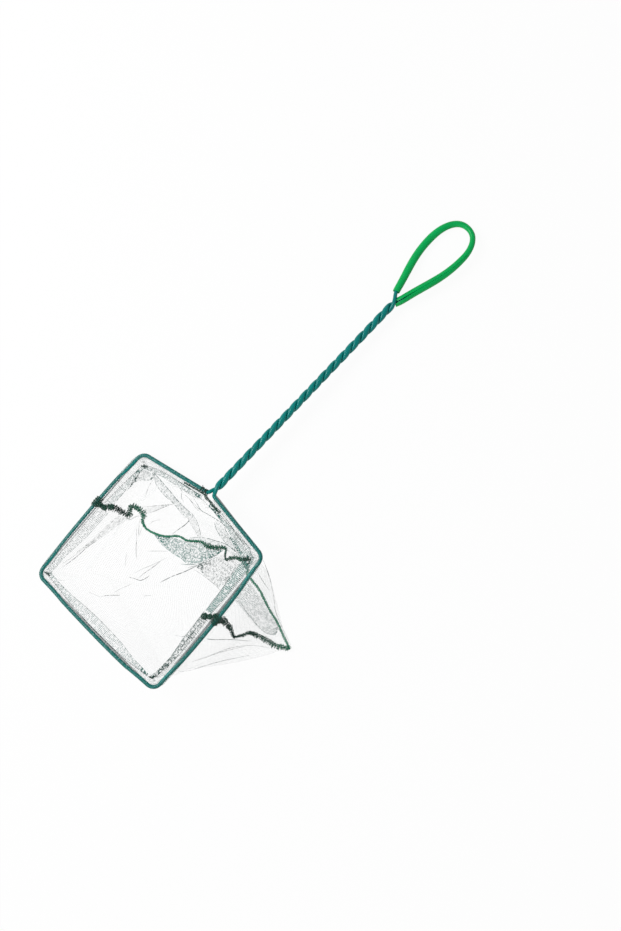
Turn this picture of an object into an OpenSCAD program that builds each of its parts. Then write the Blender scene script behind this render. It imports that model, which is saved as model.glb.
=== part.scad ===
// Aquarium fish net, lying on a table as it rests when put down.
// One coated steel wire makes the hoop, the twisted handle and the grip loop. A split sleeve
// covers the loop, and a bag sewn from two netting panels hangs on the hoop by its hem.
// The frame is drawn flat (X to the grip loop, Y to the left, Z up) with the neck at zero,
// then leaned as it lies: left corner and grip loop touch the table, the right side is raised.

/* [Wire] */
// Outer diameter of the coated wire
wire_d = 3.1; // [2.9:0.1:3.7]
// Diameter of the steel core
core_d = 2; // [1.4:0.1:2.4]
// Clearance between the core and its coating
core_clear = 0.16; // [0.08:0.02:0.2]
// Gap between the two cut ends of the wire, inside the grip sleeve
end_gap = 0.8; // [0.4:0.1:2]

/* [Hoop] */
// From the neck back to the near left corner
near_left_back = 15.2; // [11:0.2:19]
// From the handle axis out to the near left corner
near_left_out = 63.4; // [56:0.2:70]
// From the neck back to the far left corner
far_left_back = 139.6; // [125:0.2:155]
// From the handle axis out to the far left corner
far_left_out = 56.4; // [50:0.2:64]
// From the neck back to the far right corner
far_right_back = 138.2; // [125:0.2:155]
// From the handle axis out to the far right corner
far_right_out = 73.9; // [66:0.2:80]
// From the neck back to the near right corner
near_right_back = 8; // [6:0.2:14]
// From the handle axis out to the near right corner
near_right_out = 63.9; // [58:0.2:70]
// Bend radius of the four corners, at the middle of the wire
corner_r = 7; // [6.5:0.1:9]

/* [Handle] */
// From the neck to the first crossing of the two strands
neck_lead = 5.8; // [5:0.1:9]
// From the first crossing to the last one
twist_len = 200; // [150:1:280]
// Half turns of the strands between those crossings
twist_half_turns = 19; // [13:2:25]
// Gap between the two strands
strand_gap = 0.1; // [0.06:0.02:0.3]

/* [Grip loop] */
// From the last crossing to the far end of the loop, at the middle of the wire
loop_len = 82.8; // [70:0.2:100]
// From the handle axis to the left side of the loop
loop_left = 14.8; // [12:0.2:18]
// From the handle axis to the right side of the loop
loop_right = 15.6; // [12:0.2:18]
// Outer diameter of the grip sleeve
sleeve_d = 5.4; // [5:0.1:6.4]
// Clearance between the wire and the sleeve
sleeve_clear = 0.12; // [0.08:0.02:0.2]
// From the last crossing to the left end of the sleeve
sleeve_left_start = 9.6; // [8:0.2:12]
// From the last crossing to the right end of the sleeve
sleeve_right_start = 2.8; // [2:0.1:4]

/* [Netting bag] */
// Thickness of the netting
netting_t = 0.5; // [0.4:0.05:0.7]
// Clearance between the netting and what it lies on
netting_clear = 0.2; // [0.15:0.05:0.3]
// Width of the netting left between two openings of its grid
net_bar = 3; // [2:0.25:4]
// From the wire to the line of stitches that closes the hem
hem_stitch = 4.2; // [4:0.1:5]
// From the wire to the free edge of the hem, at the middle of a side
hem_flap = 9.6; // [8:0.2:12]
// From the wire to the free edge of the hem, in a corner
hem_corner_flap = 6; // [5.4:0.1:6.2]
// From the neck back to where the left side seam meets the bottom seam
seam_end_back = 24.5; // [20:0.5:30]
// From the handle axis out to where the left side seam meets the bottom seam
seam_end_out = 62; // [56:0.5:68]
// From the neck back to the tip, where the right side seam meets the bottom seam
tip_back = 48; // [42:1:54]
// From the handle axis out to the tip
tip_out = 128; // [118:1:138]
// From the neck back to the widest fold of the handle side panel
near_fold_back = 13.5; // [11:0.5:16]
// From the handle axis out to the widest fold of the handle side panel
near_fold_out = 75.5; // [73:0.5:82]
// From the neck back to the widest fold of the far side panel
far_fold_back = 114; // [106:1:120]
// From the handle axis out to the widest fold of the far side panel
far_fold_out = 82; // [79:1:88]

/* [Seams and stitches] */
// Diameter of the gathered side seams
side_seam_d = 2.6; // [2:0.1:3]
// Diameter of the bottom seam
bottom_seam_d = 1.6; // [1.2:0.1:2]
// Thickness of the seam where it is wound over the hem
wrap_t = 1.2; // [0.9:0.1:1.6]
// Length of the seam along the hem where it is wound over it
wrap_len = 8; // [6:0.5:10]
// Diameter of the thread that closes the hem
thread_d = 0.6; // [0.4:0.05:0.8]
// Diameter of the tacking thread at the neck
tack_d = 0.8; // [0.6:0.05:1]

/* [Lie on the table] */
// Angle at which the hoop leans up on its right side
lean = 11.4; // [9:0.2:14]

/* [Hidden] */

wire_r = wire_d / 2;
core_r = core_d / 2;
bore_r = core_r + core_clear;
rings_per_turn = 9;
// Radius of the helix of a strand, drawn so that its straight steps keep clear of the other one
strand_r = (wire_d + strand_gap) / 2 / cos(180 / rings_per_turn);
sleeve_r = sleeve_d / 2;
sleeve_in_r = wire_r + sleeve_clear;
side_seam_r = side_seam_d / 2;
bottom_seam_r = bottom_seam_d / 2;
thread_r = thread_d / 2;
tack_r = tack_d / 2;
// Height of the middle of a netting sheet that lies on the table
floor_z = netting_t / 2;
// Radius of the hem round the wire, at the middle of the netting
hem_r = wire_r + netting_clear + netting_t / 2;
hem_out_r = hem_r + netting_t / 2;
// Half the distance between the two layers of the hem at the stitches
hem_lay = (netting_t + netting_clear) / 2;

wire_sides = 7;
core_sides = 5;
seam_sides = 6;
thread_sides = 4;

// Vector and curve helpers
function unit(v) = v / norm(v);
function lerp(a, b, t) = a * (1 - t) + b * t;
function reversed(list) = [for (i = [len(list) - 1:-1:0]) list[i]];
function span(list, first, last) = [for (i = [first:last]) list[i]];
// Point of a polyline at share s of its count of steps
function at(line, s) =
    let (f = s * (len(line) - 1), i = min(floor(f), len(line) - 2))
    lerp(line[i], line[i + 1], f - i);
// Shares of a polyline's length at each of its points
function run_shares(line) =
    let (
        runs = [for (i = 0, run = 0; i < len(line);
            run = run + (i < len(line) - 1 ? norm(line[i + 1] - line[i]) : 0), i = i + 1) run],
        whole = runs[len(runs) - 1]
    )
    [for (run = runs) run / whole];
// The same polyline drawn with even steps
function even(line, steps) =
    let (run = run_shares(line))
    [for (k = [0:steps])
        let (
            s = k / steps,
            i = min(len([for (r = run) if (r <= s) r]), len(line) - 1)
        )
        lerp(line[i - 1], line[i], (s - run[i - 1]) / (run[i] - run[i - 1]))];
// Heading of a polyline at its point i
function heading(line, i) =
    unit(line[min(i + 1, len(line) - 1)] - line[max(i - 1, 0)]);
// Round bend of radius r at corner b, on the way from a to c
function bend(a, b, c, r, steps) =
    let (
        to_a = unit(a - b),
        to_c = unit(c - b),
        half = acos(to_a * to_c) / 2,
        centre = b + unit(to_a + to_c) * r / sin(half),
        first = b + to_a * r / tan(half) - centre,
        last = b + to_c * r / tan(half) - centre,
        turn = 180 - 2 * half
    )
    [for (i = [0:steps])
        let (t = i / steps)
        centre + (first * sin(turn * (1 - t)) + last * sin(turn * t)) / sin(turn)];
// Smooth curve from a, leaving along from_dir, to b, arriving along to_dir, without its first point
function curve(a, from_dir, b, to_dir, pull_share, steps) =
    let (
        h1 = a + from_dir * abs((b - a) * from_dir) * pull_share,
        h2 = b - to_dir * abs((b - a) * to_dir) * pull_share
    )
    [for (i = [1:steps])
        let (t = i / steps, k = 1 - t)
        a * k * k * k + h1 * 3 * k * k * t + h2 * 3 * k * t * t + b * t * t * t];
// Curve through hand-set points, with steps between each two of them
function through(points, steps) =
    let (n = len(points) - 1)
    concat(
        [for (i = [0:n - 1])
            let (
                p0 = points[max(i - 1, 0)],
                p1 = points[i],
                p2 = points[i + 1],
                p3 = points[min(i + 2, n)]
            )
            for (j = [0:steps - 1])
                let (t = j / steps)
                (p1 * 2 + (p2 - p0) * t + (p0 * 2 - p1 * 5 + p2 * 4 - p3) * t * t
                    + (p1 * 3 - p0 - p2 * 3 + p3) * t * t * t) / 2],
        [points[n]]);

// Corners of the hoop, flat
near_left = [-near_left_back, near_left_out, 0];
far_left = [-far_left_back, far_left_out, 0];
far_right = [-far_right_back, -far_right_out, 0];
near_right = [-near_right_back, -near_right_out, 0];
// Where the two legs of the hoop would meet the handle, as shares of the strand radius
left_leg_shares = [-1.2, 1.8, 0];
right_leg_shares = [0.45, -1.3, 0];
left_leg_foot = left_leg_shares * strand_r;
right_leg_foot = right_leg_shares * strand_r;
// Length of a leg that goes into the bend at the neck, as a share of the wire
leg_bend_share = 1.9;
left_leg_end = left_leg_foot + unit(near_left - left_leg_foot) * leg_bend_share * wire_d;
right_leg_end = right_leg_foot + unit(near_right - right_leg_foot) * leg_bend_share * wire_d;

// Twisted handle: a left-handed pair of strands, side 1 from the left leg and -1 from the right
pitch = 2 * twist_len / twist_half_turns;
// Share of a turn by which the strands are already wound before the first crossing
early_share = 0.125;
twist_start = neck_lead - pitch * early_share;
twist_end = neck_lead + twist_len;
function wind(x, side) = -90 * side - 360 * (x - neck_lead) / pitch;
function strand_at(x, side) = [x, strand_r * cos(wind(x, side)), strand_r * sin(wind(x, side))];
function strand_dir(x, side) =
    let (rise = 2 * PI * strand_r / pitch)
    unit([1, sin(wind(x, side)) * rise, -cos(wind(x, side)) * rise]);
strand_steps = ceil((twist_end - twist_start) / pitch * rings_per_turn);
function strand(side) = [for (i = [0:strand_steps])
    strand_at(lerp(twist_start, twist_end, i / strand_steps), side)];

// Grip loop: a teardrop, from the last crossing to its far end
loop_far = twist_end + loop_len;
// Sideways place of the far end, and places of the widest points, as shares of the loop
loop_far_share = -0.03;
left_wide_share = 0.68;
right_wide_share = 0.75;
loop_tip = [loop_far, loop_far_share * (loop_left + loop_right), 0];
// Where each leg of the loop has left the twist: shares of the loop's length and half width
left_root_shares = [0.115, 0.37];
right_root_shares = [0.1, 0.235];
left_root = [twist_end + left_root_shares.x * loop_len, left_root_shares.y * loop_left, 0];
right_root = [twist_end + right_root_shares.x * loop_len, -right_root_shares.y * loop_right, 0];
// Sideways run of each leg where it leaves the twist
root_slope_shares = [0.24, 0.27];
left_root_dir = unit([1, root_slope_shares.x, 0]);
right_root_dir = unit([1, -root_slope_shares.y, 0]);
left_wide = [twist_end + left_wide_share * loop_len, loop_left, 0];
right_wide = [twist_end + right_wide_share * loop_len, -loop_right, 0];
ahead = [1, 0, 0];
left = [0, 1, 0];
end_set = left * end_gap / 2;
// How strongly the curves hold their headings: along the legs, and round the far end
leg_pull_share = 0.4;
far_pull_share = 0.6;
left_split = curve(strand_at(twist_end, 1), strand_dir(twist_end, 1),
    left_root, left_root_dir, leg_pull_share, 4);
left_leg = concat([left_root],
    curve(left_root, left_root_dir, left_wide, ahead, leg_pull_share, 6),
    curve(left_wide, ahead, loop_tip + end_set, -left, far_pull_share, 8));
right_split = curve(strand_at(twist_end, -1), strand_dir(twist_end, -1),
    right_root, right_root_dir, leg_pull_share, 4);
right_leg = concat([right_root],
    curve(right_root, right_root_dir, right_wide, ahead, leg_pull_share, 6),
    curve(right_wide, ahead, loop_tip - end_set, left, far_pull_share, 7));

// Corner bends, and the whole wire from its left end in the loop round the hoop to its right end
corner_steps = 4;
neck_pull_share = 0.75;
near_left_bend = bend(left_leg_foot, near_left, far_left, corner_r, corner_steps);
far_left_bend = bend(near_left, far_left, far_right, corner_r, corner_steps);
far_right_bend = bend(far_left, far_right, near_right, corner_r, corner_steps);
near_right_bend = bend(far_right, near_right, right_leg_foot, corner_r, corner_steps);
neck_left_bend = curve(left_leg_end, unit(left_leg_foot - near_left),
    strand_at(twist_start, 1), strand_dir(twist_start, 1), neck_pull_share, 6);
neck_right_bend = curve(right_leg_end, unit(right_leg_foot - near_right),
    strand_at(twist_start, -1), strand_dir(twist_start, -1), neck_pull_share, 6);
function without_last(list) = span(list, 0, len(list) - 2);
left_half = concat([left_leg_end], without_last(neck_left_bend), strand(1), left_split,
    span(left_leg, 1, len(left_leg) - 1));
right_half = concat([right_leg_end], without_last(neck_right_bend), strand(-1), right_split,
    span(right_leg, 1, len(right_leg) - 1));
hoop_line = concat(near_left_bend, far_left_bend, far_right_bend, near_right_bend);
wire_line = concat(reversed(left_half), hoop_line, right_half);

// How the flat frame lies: it leans on its near left corner and on the end of the grip loop
dip = atan(((near_left_out - loop_tip.y) * sin(lean) + hem_out_r - sleeve_r)
    / (loop_far + near_left_back));
function leaned(p) =
    let (
        y = p.y * cos(lean) + p.z * sin(lean),
        z = p.z * cos(lean) - p.y * sin(lean)
    )
    [p.x * cos(dip) + z * sin(dip), y, z * cos(dip) - p.x * sin(dip)];
lift = max(
    hem_out_r - min([for (p = hoop_line) leaned(p).z]),
    sleeve_r - min([for (p = concat(left_leg, right_leg)) leaned(p).z]));
function laid(p) = leaned(p) + [0, 0, lift];
up = [0, 0, 1];

// Ring of points round point i of a flat line, laid on the table
function flat_ring(line, i, r, sides) =
    let (
        go = heading(line, i),
        aside = unit(cross(up, go)),
        over = cross(go, aside)
    )
    [for (k = [0:sides - 1])
        let (a = 360 * k / sides)
        laid(line[i] + (aside * cos(a) + over * sin(a)) * r)];
function flat_rings(line, r, sides) = [for (i = [0:len(line) - 1]) flat_ring(line, i, r, sides)];

// Faces of a skin of rings, each of n points, turned the other way when inward
function skin_faces(rings, n, start, inward) = [
    for (i = [0:rings - 2], k = [0:n - 1])
        let (
            a = start + i * n + k,
            b = start + i * n + (k + 1) % n,
            c = b + n,
            d = a + n
        )
        each inward ? [[a, b, c], [a, c, d]] : [[a, c, b], [a, d, c]]];
function flatten(lists) = [for (list = lists) each list];
// Fan that closes a ring at its first point
function fan(start, n, flip) = [for (k = [1:n - 2])
    flip ? [start, start + k + 1, start + k] : [start, start + k, start + k + 1]];

// Solid rod through rings of n points
module rod(rings, n) {
    count = len(rings);
    polyhedron(
        points = flatten(rings),
        faces = concat(skin_faces(count, n, 0, false), fan(0, n, false),
            fan((count - 1) * n, n, true)));
}

// Tube through outer and inner rings of n points
module pipe(outer, inner, n) {
    count = len(outer);
    total = count * n;
    last = (count - 1) * n;
    polyhedron(
        points = concat(flatten(outer), flatten(inner)),
        faces = concat(
            skin_faces(count, n, 0, false),
            skin_faces(count, n, total, true),
            [for (k = [0:n - 1])
                let (m = (k + 1) % n)
                each [[k, m, total + m], [k, total + m, total + k]]],
            [for (k = [0:n - 1])
                let (m = (k + 1) % n)
                each [
                    [last + m, last + k, total + last + k],
                    [last + m, total + last + k, total + last + m]]]));
}

// Moves the part so that its origin is under the middle of its outline
module centred() translate([-middle.x, -middle.y, 0]) children();

module wire_core() color("silver")
    centred() rod(flat_rings(wire_line, core_r, core_sides), core_sides);

module wire_coating() color([0.06, 0.42, 0.36])
    centred() pipe(flat_rings(wire_line, wire_r, wire_sides),
        flat_rings(wire_line, bore_r, wire_sides), wire_sides);

// Grip sleeve: a split tube over both legs of the loop. Its slit turns along the loop from
// the underside of the left leg to the top of the right leg, where it opens over the twist.
// Part of a line that runs ahead, from the place x on
function from_x(line, x) =
    let (
        k = [for (i = [0:len(line) - 1]) if (line[i].x > x) i][0],
        t = (x - line[k - 1].x) / (line[k].x - line[k - 1].x)
    )
    concat([lerp(line[k - 1], line[k], t)], span(line, k, len(line) - 1));
left_cover = from_x(
    concat([strand_at(twist_end, 1)], left_split, span(left_leg, 1, len(left_leg) - 1)),
    twist_end + sleeve_left_start);
right_cover = from_x(
    concat([strand_at(twist_end, -1)], right_split, span(right_leg, 1, len(right_leg) - 1)),
    twist_end + sleeve_right_start);
sleeve_line = concat(left_cover, reversed(right_cover));
sleeve_arc_steps = 9;
// Direction of the slit at the left end, the far end and the right end: 0 outwards, 90 upwards
slit_turns = [-90, -25, 80];
// Half opening of the slit along the loop, and at the right end
slit_half = 13;
slit_half_end = 58;
// Share of the sleeve over which the right end opens
slit_flare_share = 0.16;
function slit_turn(s) = s < 0.5
    ? lerp(slit_turns[0], slit_turns[1], s * 2)
    : lerp(slit_turns[1], slit_turns[2], s * 2 - 1);
function slit_open(s) = slit_half
    + (slit_half_end - slit_half) * pow(max(0, 1 - (1 - s) / slit_flare_share), 2);
function sleeve_ring(i) =
    let (
        s = i / (len(sleeve_line) - 1),
        go = heading(sleeve_line, i),
        aside = unit(cross(up, go)),
        over = cross(go, aside),
        first = slit_turn(s) + slit_open(s),
        sweep = 360 - 2 * slit_open(s)
    )
    [for (wall = [0, 1], k = [0:sleeve_arc_steps])
        let (
            share = (wall == 0 ? k : sleeve_arc_steps - k) / sleeve_arc_steps,
            a = first + sweep * share,
            r = wall == 0 ? sleeve_r : sleeve_in_r
        )
        laid(sleeve_line[i] + (aside * cos(a) + over * sin(a)) * r)];
sleeve_points = 2 * (sleeve_arc_steps + 1);
sleeve_rings = [for (i = [0:len(sleeve_line) - 1]) sleeve_ring(i)];
// Faces that close the cut end of the sleeve, from its outer arc to its inner one
function sleeve_end(start, flip) = [for (k = [0:sleeve_arc_steps - 1])
    let (
        a = start + k,
        b = start + k + 1,
        c = start + sleeve_points - 2 - k,
        d = start + sleeve_points - 1 - k
    )
    each flip ? [[a, c, b], [a, d, c]] : [[a, b, c], [a, c, d]]];

module grip_sleeve() color([0.12, 0.66, 0.35])
    centred() polyhedron(
        points = flatten(sleeve_rings),
        faces = concat(
            skin_faces(len(sleeve_rings), sleeve_points, 0, false),
            sleeve_end(0, false),
            sleeve_end((len(sleeve_rings) - 1) * sleeve_points, true)));

// Seams of the bag. Each route is a list of shares of the straight way between its two ends:
// along it, and to its left. Side seams start at the wire and end on the bottom seam.
// Rows of a panel below its hem: openings in its netting, each of some rows and a bar
openings_down = 5;
open_rows = 3;
panel_rows = openings_down * (open_rows + 1);
left_seam_share = 0.417;
right_seam_share = 0.49;
left_seam_foot = lerp(near_left, far_left, left_seam_share);
right_seam_foot = lerp(near_right, far_right, right_seam_share);
left_side_in = unit(cross(far_left - near_left, -up));
right_side_in = unit(cross(far_right - near_right, up));
left_side_ahead = unit(near_left - far_left);
right_side_ahead = unit(near_right - far_right);
left_route_shares = [[0.06, 0.03], [0.11, 0.06], [0.155, 0.092], [0.203, 0.066], [0.235, 0.02],
    [0.277, -0.008], [0.355, -0.018], [0.42, 0], [0.48, 0.019], [0.574, 0.024], [0.662, 0.042],
    [0.74, 0.062], [0.8, 0.066], [0.85, 0.04], [0.92, 0.033]];
right_route_shares = [[0.15, 0.035], [0.227, -0.02], [0.292, -0.065], [0.379, -0.029],
    [0.466, 0.02], [0.573, 0.024], [0.683, -0.011], [0.778, -0.034], [0.88, -0.019]];
bottom_route_shares = [[0.14, -0.045], [0.33, -0.035], [0.52, -0.01], [0.7, 0.01], [0.88, -0.015]];
// How fast the right side seam comes down from the hoop
right_fall_share = 1.6;
function flat_xy(p) = [p.x, p.y, 0];
function route(a, b, shares, z_from, z_to, fall) = [for (s = shares)
    let (way = flat_xy(b - a), aside = cross(up, way))
    flat_xy(a) + way * s.x + aside * s.y + up * (z_to + (z_from - z_to) * pow(1 - s.x, fall))];
seam_join = [-seam_end_back, -seam_end_out, bottom_seam_r];
tip = [-tip_back, -tip_out, bottom_seam_r];
join_gap = netting_clear + side_seam_r;
bottom_line = through(concat([seam_join],
    route(seam_join, tip, bottom_route_shares, bottom_seam_r, bottom_seam_r, 1), [tip]), 3);

// Each side seam starts beside the wire, crosses the hem squarely between the two panels, and
// from the stitches on runs in as many rows as the panels
seam_start_in = wire_r + netting_clear + side_seam_r / 2;
hem_exit_in = hem_flap + side_seam_r;
function left_side_at(inward, rise) = laid(left_seam_foot + left_side_in * inward + up * rise);
left_seam_exit = left_side_at(hem_exit_in, -side_seam_d * 2);
left_seam_end = [seam_join.x, seam_join.y, side_seam_r]
    + unit(flat_xy(left_seam_exit - seam_join)) * join_gap;
left_seam_rows = [
    for (p = even(through(concat([left_side_at(hem_stitch, 0), left_seam_exit],
        route(left_seam_exit, left_seam_end, left_route_shares, side_seam_r, side_seam_r, 1),
        [left_seam_end]), 3), panel_rows))
    [p.x, p.y, max(p.z, side_seam_r)]];
left_seam_line = concat([left_side_at(seam_start_in, 0)], left_seam_rows);

// The right side seam turns down inside the hem, passes under the wire and falls to the tip
wrap_out_r = hem_out_r + netting_clear + wrap_t;
under_r = wrap_out_r + netting_clear + side_seam_r;
// Directions of its turns round the wire, from inwards down to underneath, and their distances
right_turns = [-48, -80, -112];
right_turn_shares = [1.03, 1.12, 1.2];
function right_side_at(a, r) =
    laid(right_seam_foot + (right_side_in * cos(a) + up * sin(a)) * r);
right_seam_dip = [for (k = [0:len(right_turns) - 1])
    right_side_at(right_turns[k], right_turn_shares[k] * under_r)];
right_seam_end = tip + up * (bottom_seam_r + netting_clear + side_seam_r);
right_seam_rows = even(through(concat([right_side_at(0, hem_stitch)], right_seam_dip,
    route(right_seam_dip[2], right_seam_end, right_route_shares,
        right_seam_dip[2].z, right_seam_end.z, right_fall_share),
    [right_seam_end]), 3), panel_rows);
right_seam_line = concat([right_side_at(0, seam_start_in)], right_seam_rows);

// Directions square to a line at each of its points, carried along it from its first one
function carried(line, first) =
    let (last = len(line) - 1)
    [for (i = 0, side = unit(first - heading(line, 0) * (first * heading(line, 0))); i <= last;
        i = i + 1,
        side = i > last ? side : unit(side - heading(line, i) * (side * heading(line, i)))) side];
// Edge of a panel beside a seam, on the side that first points to
function edge(line, first, gap) =
    let (carry = carried(line, first))
    [for (i = [0:len(line) - 1]) line[i] + carry[i] * gap];
side_gap = side_seam_r + netting_clear;
bottom_gap = bottom_seam_r + netting_clear * 3;
left_ahead = leaned(left_side_ahead);
right_ahead = leaned(right_side_ahead);
bottom_ahead = cross(up, unit(tip - seam_join));
function seam_edge(line, ahead, side) =
    let (all = edge(line, ahead * side, side_gap), last = all[len(all) - 1])
    concat(span(all, 1, len(all) - 2), [[last.x, last.y, bottom_seam_r]]);
near_left_edge = seam_edge(left_seam_line, left_ahead, 1);
near_right_edge = seam_edge(right_seam_line, right_ahead, 1);
far_left_edge = seam_edge(left_seam_line, left_ahead, -1);
far_right_edge = seam_edge(right_seam_line, right_ahead, -1);
function bottom_edge(side, left_edge, right_edge) =
    let (all = edge(bottom_line, bottom_ahead * side, bottom_gap))
    concat([left_edge[panel_rows]], span(all, side > 0 ? 0 : 1, len(all) - 2), [right_edge[panel_rows]]);

// Hem lines along the wire: for the handle side over the near corners, past the neck, and for
// the far side over the far corners
hem_stop_share = 2.6;
left_hem_end = left_leg_foot + unit(near_left - left_leg_foot) * hem_stop_share * wire_d;
right_hem_end = right_leg_foot + unit(near_right - right_leg_foot) * hem_stop_share * wire_d;
neck_point = (left_leg_foot + right_leg_foot) / 2;
// Points from a to just before b, for some openings in the netting between bars
function barred(a, b, openings) =
    let (way = unit(b - a), step = (norm(b - a) - net_bar) / openings)
    [for (i = [0:openings])
        each i < openings
            ? [a + way * step * i, a + way * (step * i + net_bar)]
            : [a + way * step * i]];
function inner_part(list) = span(list, 1, len(list) - 1);
near_start = left_seam_foot + left_side_ahead * side_gap;
near_end = right_seam_foot + right_side_ahead * side_gap;
far_start = left_seam_foot - left_side_ahead * side_gap;
far_end = right_seam_foot - right_side_ahead * side_gap;
near_left_turn = reversed(near_left_bend);
near_right_turn = reversed(near_right_bend);
// Openings across each stretch of the hem, between its ends, the corners and the neck
near_openings = [2, 2, 2, 3];
far_openings = [2, 4, 3];
near_line = concat(
    barred(near_start, near_left_turn[0], near_openings[0]),
    near_left_turn,
    inner_part(barred(near_left_turn[corner_steps], left_hem_end, near_openings[1])),
    [left_hem_end, neck_point, right_hem_end],
    inner_part(barred(right_hem_end, near_right_turn[0], near_openings[2])),
    near_right_turn,
    inner_part(barred(near_right_turn[corner_steps], near_end, near_openings[3])),
    [near_end]);
far_line = concat(
    barred(far_start, far_left_bend[0], far_openings[0]),
    far_left_bend,
    inner_part(barred(far_left_bend[corner_steps], far_right_bend[0], far_openings[1])),
    far_right_bend,
    inner_part(barred(far_right_bend[corner_steps], far_end, far_openings[2])),
    [far_end]);
// Place of the neck and of the lower corners among those points
neck_index = 2 * near_openings[0] + 1 + len(near_left_turn) + 2 * near_openings[1] + 1;
near_fold_index = neck_index + 1 + 2 * near_openings[2] + 1 + 2;
far_fold_index = 2 * far_openings[0] + 1 + len(far_left_bend) + 2 * far_openings[1] + 2;

// Depth of the hem's free edge at a point of the wire: shallow in the corners
flap_rise_share = 0.4;
corners = [near_left, far_left, far_right, near_right, neck_point];
function flap_at(p) =
    let (
        reach = flap_rise_share * norm(near_left - far_left),
        away = min([for (c = corners) norm(p - c)])
    )
    hem_corner_flap + (hem_flap - hem_corner_flap) * sin(90 * min(1, away / reach));
// Hem in section, flat: free edge, stitches, round the wire, and back to the stitches below
hem_turns = 7;
hem_open_angle = 50;
function hem_section(line, i, side) =
    let (
        c = line[i],
        inward = cross(heading(line, i), up) * side
    )
    concat(
        [c + inward * flap_at(c) + up * hem_lay, c + inward * hem_stitch + up * hem_lay],
        [for (k = [0:hem_turns])
            let (a = lerp(hem_open_angle, 360 - hem_open_angle, k / hem_turns))
            c + (inward * cos(a) + up * sin(a)) * hem_r],
        [c + inward * hem_stitch - up * hem_lay]);
hem_rows = hem_turns + 4;

// A panel hangs from its hem to a fold line and goes on to the bottom seam. Along the fold line
// its share of the depth grows from fold_share to nearly all of it at the tip.
fold_share = 0.8;
tip_fold_share = 0.96;
// How fast a panel falls from the hem: on the side lying on the table, and on the raised side
lying_fall_share = 2.6;
raised_fall_share = 1.35;
// How closely the panel follows its side seams: the higher, the narrower the stretch that does
near_hold = 2.4;
far_hold = 3;
near_fold = [-near_fold_back, -near_fold_out, 0];
far_fold = [-far_fold_back, -far_fold_out, 0];
// How closely the lower ends of the columns of each panel keep to the start of the bottom seam
near_gather = 2.6;
far_gather = 1;
// Height of the folds and of the layer above them, and how far each fold line bows, as shares of its two ends
fold_height = netting_t * 3;
fold_loft = netting_t * 6;
near_bow_shares = [0.8, 0.4];
far_bow_shares = [0.5, 0.3];
rim_bow_shares = [0.5, 0.62];

function bow(a, m, b, t) = lerp(lerp(a, m, t), lerp(m, b, t), t);
function panel_columns(line, side, left_edge, right_edge, bottom_edge, fold, fold_i, bow_shares,
    gather) =
    let (
        run = run_shares(line),
        fold_run = run[fold_i],
        left_fold = at(left_edge, fold_share),
        end = right_edge[len(right_edge) - 1],
        mid_a = [lerp(left_fold.x, fold.x, bow_shares.x), lerp(left_fold.y, fold.y, bow_shares.y), 0],
        mid_b = [lerp(fold.x, end.x, rim_bow_shares.x), lerp(fold.y, end.y, rim_bow_shares.y), 0]
    )
    [for (i = [0:len(line) - 1])
        let (
            u = run[i],
            lying = u <= fold_run,
            t = lying ? u / fold_run : (u - fold_run) / (1 - fold_run),
            fold_xy = lying
                ? bow(flat_xy(left_fold), mid_a, fold, t)
                : bow(fold, mid_b, flat_xy(end), t),
            fold_z = lying ? lerp(floor_z, fold_height, pow(t, 4)) : lerp(fold_height, end.z, t),
            section = hem_section(line, i, side)
        )
        [
            laid(section[hem_rows - 1]),
            fold_xy + up * fold_z,
            at(bottom_edge, pow(u, gather)),
            lying ? fold_share : lerp(fold_share, tip_fold_share, t),
            lying ? lerp(lying_fall_share, raised_fall_share, pow(t, 4)) : raised_fall_share,
            u,
            fold_loft * (lying ? pow(t, 4) : 1)
        ]];
function column_point(column, v) =
    let (hang = column[0], fold = column[1], end = column[2], share = column[3])
    v <= share
        ? let (s = v / share)
            flat_xy(lerp(hang, fold, s)) + up * (fold.z + (hang.z - fold.z) * pow(1 - s, column[4])
                + column[6] * s * (1 - pow(s, 8)))
        : lerp(fold, end, (v - share) / (1 - share));
function panel_grid(line, side, left_edge, right_edge, fold, fold_i, bow_shares, gather, hold) =
    let (
        columns = panel_columns(line, side, left_edge, right_edge,
            bottom_edge(side, left_edge, right_edge), fold, fold_i, bow_shares, gather),
        n = len(line) - 1
    )
    [for (i = [0:n])
        let (section = hem_section(line, i, side), u = columns[i][5])
        concat(
            [for (p = section) laid(p)],
            [for (r = [1:panel_rows])
                let (
                    v = r / panel_rows,
                    p = column_point(columns[i], v)
                        + (left_edge[r] - column_point(columns[0], v)) * pow(1 - u, hold)
                        + (right_edge[r] - column_point(columns[n], v)) * pow(u, hold)
                )
                [p.x, p.y, max(p.z, floor_z)]])];
near_grid = panel_grid(near_line, 1, near_left_edge, near_right_edge,
    near_fold, near_fold_index, near_bow_shares, near_gather, near_hold);
far_grid = panel_grid(far_line, -1, far_left_edge, far_right_edge,
    far_fold, far_fold_index, far_bow_shares, far_gather, far_hold);

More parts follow.
